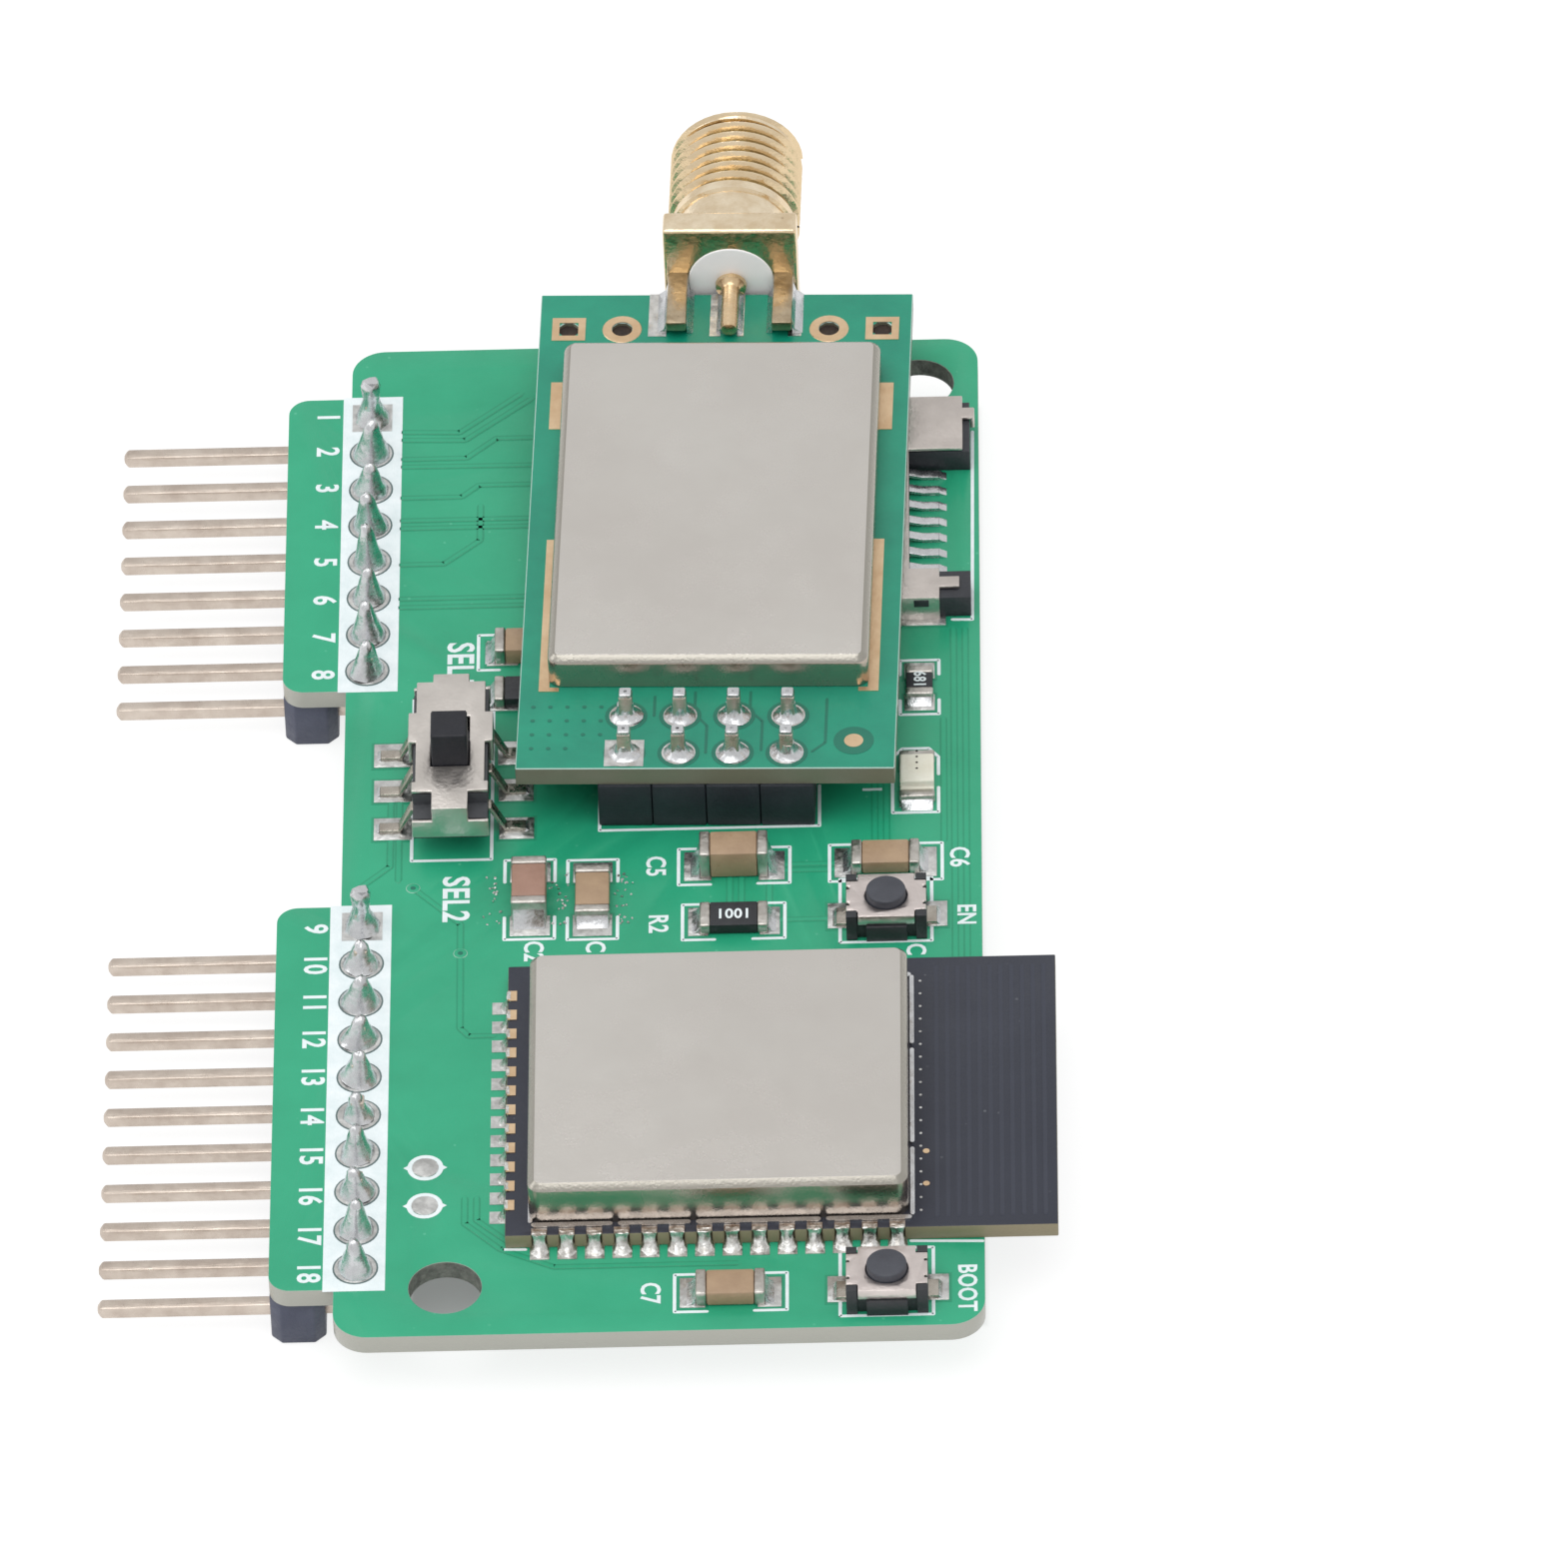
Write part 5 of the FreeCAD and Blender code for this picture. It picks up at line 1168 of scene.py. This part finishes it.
@dataclass(frozen=True)
class CoaxJack(Assembly):
    """The threaded coaxial jack at the radio board's end."""

    place: Place = RADIO_PLACE
    x: float = 0.2
    z: float = 5.04
    face: float = 31.27
    flange: float = 1.4
    neck: float = 2.2
    reach: float = 8.8
    pitch: float = 0.7056
    crest: float = 3.175
    root: float = 2.62
    bore: float = 2.3

    def spot(self, y: float) -> Point:
        """A point on the axis."""
        return self.x, self.face + y, self.z

    def thread(self) -> bpy.types.Object:
        """One pitch of the profile, screwed round the axis."""
        turns = 7
        steps = ((self.root, 0.0), (self.root, 0.14), (self.crest - 0.06, 0.42), (self.crest, 0.5),
                 (self.crest - 0.06, 0.58), (self.root, 0.86), (self.root, 1.0))
        mesh = bpy.data.meshes.new("thread")
        mesh.from_pydata([(radius * MM, 0, share * self.pitch * MM) for radius, share in steps],
                         [(i, i + 1) for i in range(len(steps) - 1)], [])
        piece = bpy.data.objects.new("thread", mesh)
        bpy.context.scene.collection.objects.link(piece)
        pick(piece)
        screw = piece.modifiers.new("screw", "SCREW")
        screw.screw_offset = self.pitch * MM
        screw.iterations = turns
        screw.steps = 40
        screw.render_steps = 40
        screw.use_merge_vertices = True
        bpy.ops.object.modifier_apply(modifier=screw.name)
        bpy.ops.object.mode_set(mode="EDIT")
        bpy.ops.mesh.select_all(action="SELECT")
        bpy.ops.mesh.remove_doubles(threshold=1e-6)
        bpy.ops.mesh.normals_make_consistent(inside=False)
        bpy.ops.object.mode_set(mode="OBJECT")
        piece.rotation_euler = Axis.ALONG_Y.value
        piece.location = Vector(self.spot(self.reach - turns * self.pitch - 0.35)) * MM
        settle(piece)
        bpy.ops.object.shade_smooth_by_angle(angle=math.radians(30))
        return piece

    def build(self) -> None:
        """Build the body, its thread, the insulator and the contact."""
        flange = block("flange", (self.x - 3.2, self.face, self.z - 3.2),
                       (self.x + 3.2, self.face + self.flange, self.z + 3.2), 0.16, 3)
        neck = turned("neck", [(2.85, 0.0), (2.85, self.neck - 0.3), (3.0, self.neck - 0.2),
                               (3.0, self.neck + 0.3), (2.7, self.neck + 0.5)], 48, Axis.ALONG_Y,
                      self.spot(self.flange))
        barrel = turned("barrel", [(2.76, 2.0), (2.76, self.reach - 0.45), (2.95, self.reach - 0.4),
                                   (3.0, self.reach - 0.25), (2.8, self.reach),
                                   (self.bore + 0.12, self.reach), (self.bore, self.reach - 0.15),
                                   (self.bore, 1.0)], 48, Axis.ALONG_Y, self.spot(0.0))
        legs = []
        for side in (-1, 1):
            for low, high in ((self.z, self.z + 0.55), (self.z - 2.6, self.z - 1.52)):
                centre = self.x + side * 2.525
                legs.append(block("leg", (centre - 0.475, self.face - 3.6, low),
                                  (centre + 0.475, self.face + 0.1, high), 0.08))
        self.set_down("jack_body", [flange, neck, barrel, self.thread()], BRASS, "coax_jack_body")
        self.set_down("jack_legs", legs, SHADED_LEG_BRASS)
        # A dark brass sleeve at the thread's roots paints the shade in its valleys.
        root = turned("root", [(2.7, 3.55), (2.84, 3.6), (2.84, self.reach - 0.5), (2.7, self.reach - 0.46)],
                      48, Axis.ALONG_Y, self.spot(0.0), closed=False)
        self.set_down("jack_thread_roots", [root], THREAD_ROOT_SHADE)
        disc = turned("disc", [(2.06, -0.06), (2.06, self.reach - 3.4)], 40, Axis.ALONG_Y, self.spot(0.0))
        self.set_down("jack_disc", [bevel(disc, 0.06)], PTFE, "coax_jack_insulator")
        pin = turned("pin", [(0.2, -3.6), (0.36, -3.5), (0.41, -3.3), (0.41, -0.75), (0.5, -0.62),
                             (0.72, -0.5), (0.76, -0.3), (0.55, -0.12), (0.55, 0.5)], 28, Axis.ALONG_Y,
                     self.spot(0.0))
        socket = turned("socket", [(0.64, self.reach - 3.6), (0.64, self.reach - 0.9),
                                   (0.58, self.reach - 0.7), (0.4, self.reach - 0.75),
                                   (0.4, self.reach - 2.9)], 24, Axis.ALONG_Y, self.spot(0.0))
        self.set_down("jack_contact", [pin, socket], CONTACT, "coax_jack_contact")
        self.soften("coax_jack_solder", 0.2, SOLDER, segments=3)


@dataclass(frozen=True)
class WifiModule(Assembly):
    """The wireless module with its shield and edge contacts."""

    centre: Flat = (4.51, -19.1)
    top: float = 1.8
    pitch: float = 1.27
    first: float = -6.66
    near: float = -28.1
    far: float = -10.1
    left: float = -8.24
    joint_height: float = 0.86
    joint_half: float = 0.4

    def joint(self) -> bpy.types.Object:
        """One solder joint, narrow at its waist and spread to a round toe along +Y."""
        piece = block("joint", (-self.joint_half, -0.2, 0.0), (self.joint_half, 0.2, self.joint_height))
        pick(piece)
        bpy.ops.object.mode_set(mode="EDIT")
        bpy.ops.mesh.select_all(action="SELECT")
        bpy.ops.mesh.subdivide(number_cuts=4)
        bpy.ops.object.mode_set(mode="OBJECT")
        for vertex in piece.data.vertices:
            low = min(1.0, max(0.0, 1 - vertex.co.z / (self.joint_height * MM)))
            across = vertex.co.x / (self.joint_half * MM)
            if vertex.co.y > 0:
                vertex.co.y *= (0.5 + 3.2 * low ** 2.2) * (1 - 0.45 * across ** 2)
            vertex.co.x *= 0.8 + 0.32 * low ** 1.5 - 0.26 * math.sin(math.pi * low)
        bpy.ops.object.shade_smooth_by_angle(angle=math.radians(50))
        return piece

    def build(self) -> None:
        """Build the board, the shield, the joints, the pads and the parts inside."""
        self.soften("wifi_module_board", 0.05, BLACK_BOARD)
        for node, finish in (("wifi_processor", CHIP_BLACK), ("wifi_flash", CHIP_BLACK),
                             ("wifi_crystal", CRYSTAL)):
            self.soften(node, 0.06, finish)
        squeezed(self.soften("wifi_module_shield", 0.1, SHIELD), 10.39, 0.0, 1.013)
        made, tin, gold, worn = [], [], [], []
        for i in range(14):
            x = self.first + self.pitch * i
            for y, turn in ((self.near, math.pi), (self.far, 0.0)):
                joint = crumpled(self.joint(), 0.028, seed=i)
                joint.rotation_euler = (0, 0, turn)
                joint.location = Vector((x, y, 1.0)) * MM
                made.append(settle(joint))
                out = 1 if turn == 0.0 else -1
                tin.append(block("pad", (x - 0.45, min(y, y + out * 0.82), 1.0),
                                 (x + 0.45, max(y, y + out * 0.82), 1.0 + PAD)))
                worn.append(block("pad", (x - 0.36, min(y, y - out * 0.42), self.top),
                                  (x + 0.36, max(y, y - out * 0.42), self.top + PAD)))
        for i in range(12):
            y = self.centre[1] - 6.985 + self.pitch * i
            joint = crumpled(self.joint(), 0.028, seed=20 + i)
            joint.rotation_euler = (0, 0, math.pi / 2)
            joint.scale = (0.85, 0.6, 1)
            joint.location = Vector((self.left, y, 1.0)) * MM
            made.append(settle(joint))
            tin.append(block("pad", (-9.0, y - 0.4, 1.0), (self.left, y + 0.4, 1.0 + PAD)))
            gold.append(block("pad", (self.left, y - 0.33, self.top), (-7.82, y + 0.33, self.top + PAD)))
        self.set_down("module_joints", made, JOINT, "wifi_module_solder")
        self.set_down("module_tin", tin, TIN)
        self.set_down("module_edge_pads", worn, DULL_GOLD)
        gold += [turned("dot", [(0.16, 0.0), (0.16, 0.02)], 12, at=(11.2, y, self.top))
                 for y in (-23.1, -25.25)]
        self.set_down("module_gold", gold, GOLD)
        vias = [turned("via", [(0.07, 0.0), (0.07, 0.01)], 8, at=(10.95, -27.0 + 0.85 * i, self.top))
                for i in range(19)]
        self.set_down("module_vias", vias, TIN)
        frame = []
        for y in (-27.52, -11.34):
            for x0, x1 in ((-6.9, -3.4), (-2.9, 0.2), (0.7, 6.2), (6.7, 10.4)):
                frame += ribbon([(x0, y), (x1, y)], 0.27, self.top, self.top + 0.12)
        for x in (-7.08, 10.56):
            for y0, y1 in ((-27.3, -23.0), (-22.5, -16.4), (-15.9, -11.5)):
                frame += ribbon([(x, y0), (x, y1)], 0.2, self.top, self.top + 0.12)
        self.set_down("shield_seam", frame, SOLDER)
        lines = []
        for i in range(11):
            lines += ribbon([(11.7 + 0.5 * i, -27.4), (11.7 + 0.5 * i, -10.8)], 0.2, self.top - 0.004,
                            self.top + 0.01)
        self.set_down("antenna_lines", lines, ANTENNA)


@dataclass(frozen=True)
class SlideSwitch(Assembly):
    """The slide switch and its leads."""

    centre: float = -10.99
    span: float = 2.2
    drawn_in: float = 0.75

    def build(self) -> None:
        """Build the cover, base, knob, clips, leads and solder."""
        self.soften("switch_cover", 0.12, COVER)
        self.soften("switch_base", 0.1, SWITCH_PLASTIC)
        self.soften("switch_knob", 0.22, KNOB, "switch_slider", 3)
        self.soften("switch_contacts", 0.03, LEAD, "switch_slider", 1)
        leads = self.soften("switch_leads", 0.05, LEAD)
        solder = self.soften("switch_solder", 0.12, SOLDER, segments=3)
        for piece in (leads, solder):
            squeezed(piece, self.centre, self.span, self.drawn_in)


@dataclass(frozen=True)
class PushButton(Assembly):
    """A small push button."""

    name: str
    centre: float = 9.385
    span: float = 1.9
    drawn_in: float = 0.5

    def build(self) -> None:
        """Build the base, cover, plunger, dome, terminals and solder."""
        node = f"{self.name}_button"
        self.soften(f"{node}_base", 0.06, BUTTON_BLACK)
        self.soften(f"{node}_cover", 0.07, BUTTON_METAL)
        self.soften(f"{node}_plunger", 0.1, PLUNGER, f"{self.name}_plunger", 3)
        terminals = self.soften(f"{node}_terminals", 0.05, LEAD)
        solder = self.soften(f"{node}_solder", 0.1, SOLDER, segments=3)
        for piece in (terminals, solder):
            squeezed(piece, self.centre, self.span, self.drawn_in)
        dome = self.show(softened(f"{node}_dome", *THIN), SPRING, f"{node}_dome")
        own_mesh(dome)


@dataclass(frozen=True)
class CardSocket(Assembly):
    """The memory card socket."""

    span: float = 10.6
    drawn_in: float = 0.75

    def build(self) -> None:
        """Build the base, shell, contacts, solder and slider."""
        self.soften("card_socket_base", 0.06, SOCKET_BLACK)
        self.soften("card_socket_shell", 0.05, SOCKET_METAL)
        for node, width in (("card_socket_contacts", 0.04), ("card_socket_solder", 0.08)):
            squeezed(self.soften(node, width, SOLDER), 0.0, self.span, self.drawn_in)
        self.set_down("socket_window", [block("window", (10.76, 13.84, 1.88), (11.47, 13.96, 2.3), 0.03)],
                      SOCKET_BLACK)
        self.soften("card_socket_sled", 0.06, SOCKET_BLACK, "card_slider")
        spring = self.show(softened("card_socket_spring", *THIN), SPRING, "card_socket_spring")
        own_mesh(spring)


@dataclass(frozen=True)
class ChipParts(Assembly):
    """Capacitors, resistors and the light."""

    def build(self) -> None:
        """Build the bodies, end caps and solder."""
        self.soften("capacitor_ceramics", 0.1, TAN)
        self.soften("capacitor_c2_ceramic", 0.1, BROWN)
        self.soften("resistor_bodies", 0.05, RESISTOR)
        self.soften("chip_end_caps", 0.1, CAP_TIN, segments=3)
        self.soften("chip_solder", 0.12, SOLDER, segments=3)
        self.soften("status_led", 0.12, LED)
        chance = random.Random(7)
        spots = [(chance.choice((-9.1, -5.85, -2.95)) + chance.gauss(0, 0.22), chance.uniform(-6.6, -3.0),
                  1.0) for _ in range(70)]
        crumbs = crumpled(copies(turned("crumb", [(0.07, 0.0), (0.05, 0.05)], 5), spots, 0.4), 0.01)
        self.set_down("solder_crumbs", [crumbs], TIN)
        low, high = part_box("status_led")
        dots = [turned("dot", [(0.07, -0.01), (0.06, 0.012)], 6,
                       at=((low.x + high.x) / 2 / MM, y, high.z / MM)) for y in (3.9, 3.5, 3.1, 2.7)]
        self.set_down("led_dots", dots, DARK_DOTS_AND_HOLE_SHADE)
        marks = [lettering("1001", 2.25, -6.6, 0.9, 1.6, 180.0), lettering("681", 10.98, 9.2, 0.8, 1.56)]
        self.set_down("resistor_marks", marks, SILK)


@dataclass(frozen=True)
class Studio:
    """A pale floor, soft light and the camera."""

    floor: float = -2.54
    glow_beside: float = 0.82
    # The floor's light under the board is kept low to paint the board's shadow there, with a soft edge of the
    # given width.
    glow_under: float = 0.22
    floor_seen: float = 0.24
    floor_given: float = 0.8
    blur: float = 1.4
    target: Point = (4.58, 2.77, 1.0)
    distance: float = 1100.0
    elevation: float = 43.11
    azimuth: float = 1.765
    roll: float = -2.52
    lens: float = 537.02

    def build(self) -> None:
        """Set up the floor, the lights, the surroundings and the camera."""
        self.lay_floor()
        self.light("overhead", (-0.12, -0.2, 0.9), 0.9, 4.0)
        self.light("left", (-0.9, 0.1, 0.5), 0.5, 1.0)
        self.surround()
        self.camera()

    def lay_floor(self) -> None:
        """A large pale floor that reads white to the camera, keeps the object's shadow, and has a painted
        shadow under the board, where it gives out less light.
        """
        bpy.ops.object.select_all(action="DESELECT")
        bpy.ops.mesh.primitive_plane_add(size=6, location=(0, 0, self.floor * MM))
        floor = fresh("floor")
        settle(floor)
        made = bpy.data.materials.new("floor_white")
        made.use_nodes = True
        tree = made.node_tree
        shader = tree.nodes["Principled BSDF"]
        shader.inputs["Roughness"].default_value = 0.9
        shader.inputs["Specular IOR Level"].default_value = 0.0
        seen = self.seen(tree)
        # The floor's light is lowered under the board: a painted shadow.
        glow_and_painted_shadow = mixed(tree, self.beside(tree), (self.glow_under,) * 3, (self.glow_beside,) * 3)
        feed(tree, glow_and_painted_shadow, shader.inputs["Emission Color"])
        feed(tree, seen, shader.inputs["Emission Strength"])
        pale = mixed(tree, seen, (self.floor_given,) * 3, (self.floor_seen,) * 3)
        feed(tree, pale, shader.inputs["Base Color"])
        floor.data.materials.append(made)

    def seen(self, tree: bpy.types.NodeTree) -> bpy.types.NodeSocket:
        """1 for the rays that look at the floor, also by reflection, and 0 for the light that it gives."""
        ray = tree.nodes.new("ShaderNodeLightPath")
        straight = computed(tree, "ADD", ray.outputs["Is Camera Ray"], ray.outputs["Is Glossy Ray"],
                            clamp=True)
        return computed(tree, "ADD", straight, ray.outputs["Is Transmission Ray"], clamp=True)

    def beside(self, tree: bpy.types.NodeTree) -> bpy.types.NodeSocket:
        """0 under the board, where the floor's light is lowered to paint the board's shadow, and 1 around it.
        """
        where = tree.nodes.new("ShaderNodeTexCoord")
        parts = tree.nodes.new("ShaderNodeSeparateXYZ")
        feed(tree, where.outputs["Object"], parts.inputs["Vector"])
        sides = []
        for way, centre, reach in (("X", 0.0, 14.0), ("Y", 1.2, 31.6)):
            off = computed(tree, "ABSOLUTE", computed(tree, "SUBTRACT", parts.outputs[way], centre * MM))
            sides.append(stretched(tree, off, (reach - self.blur) * MM, reach * MM))
        return computed(tree, "MAXIMUM", *sides)

    def light(self, name: str, where: Point, size: float, watts: float) -> None:
        """Add a soft square lamp aimed at the board.

        Args:
            name: The lamp's name.
            where: Its place, in metres.
            size: Its side, in metres.
            watts: Its power.
        """
        bpy.ops.object.select_all(action="DESELECT")
        bpy.ops.object.light_add(type="AREA", location=where)
        lamp = bpy.context.active_object
        lamp.name = name
        lamp.data.size = size
        lamp.data.energy = watts
        lamp.rotation_euler = (-Vector(where)).to_track_quat("-Z", "Y").to_euler()

    def surround(self) -> None:
        """Even white surroundings."""
        world = bpy.data.worlds.new("surroundings")
        world.use_nodes = True
        world.node_tree.nodes["Background"].inputs["Color"].default_value = (1.0, 1.0, 1.0, 1)
        world.node_tree.nodes["Background"].inputs["Strength"].default_value = 0.8
        bpy.context.scene.world = world

    def camera(self) -> None:
        """Put the camera where the photograph was taken from."""
        azimuth, elevation, roll = (math.radians(turn) for turn in (self.azimuth, self.elevation, self.roll))
        back = Vector((math.sin(azimuth) * math.cos(elevation), -math.cos(azimuth) * math.cos(elevation),
                       math.sin(elevation)))
        right = Vector((math.cos(azimuth), math.sin(azimuth), 0))
        upward = back.cross(right)
        across = math.cos(roll) * right + math.sin(roll) * upward
        along = math.cos(roll) * upward - math.sin(roll) * right
        bpy.ops.object.select_all(action="DESELECT")
        bpy.ops.object.camera_add()
        camera = bpy.context.active_object
        camera.name = "camera"
        turn = Matrix((across, along, back)).transposed().to_4x4()
        camera.matrix_world = Matrix.Translation((Vector(self.target) + back * self.distance) * MM) @ turn
        camera.data.lens = self.lens
        camera.data.sensor_width = 36.0
        camera.data.clip_start = 0.2
        camera.data.clip_end = 20.0
        bpy.context.scene.camera = camera


def build_scene() -> None:
    """Build every sub-assembly, then the studio."""
    logging.basicConfig(level=logging.INFO, format="%(message)s")
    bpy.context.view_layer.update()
    for part in (CarrierBoard(), PinHeader("a", ROW_A, 8), PinHeader("b", ROW_B, 10, 0.8), Radio(),
                 CoaxJack(), WifiModule(), SlideSwitch(), PushButton("enable"), PushButton("boot"),
                 CardSocket(), ChipParts()):
        log.info("building %s", type(part).__name__)
        part.build()
    Studio().build()
    bpy.context.scene.view_settings.view_transform = "Standard"


if __name__ == "__main__":
    build_scene()
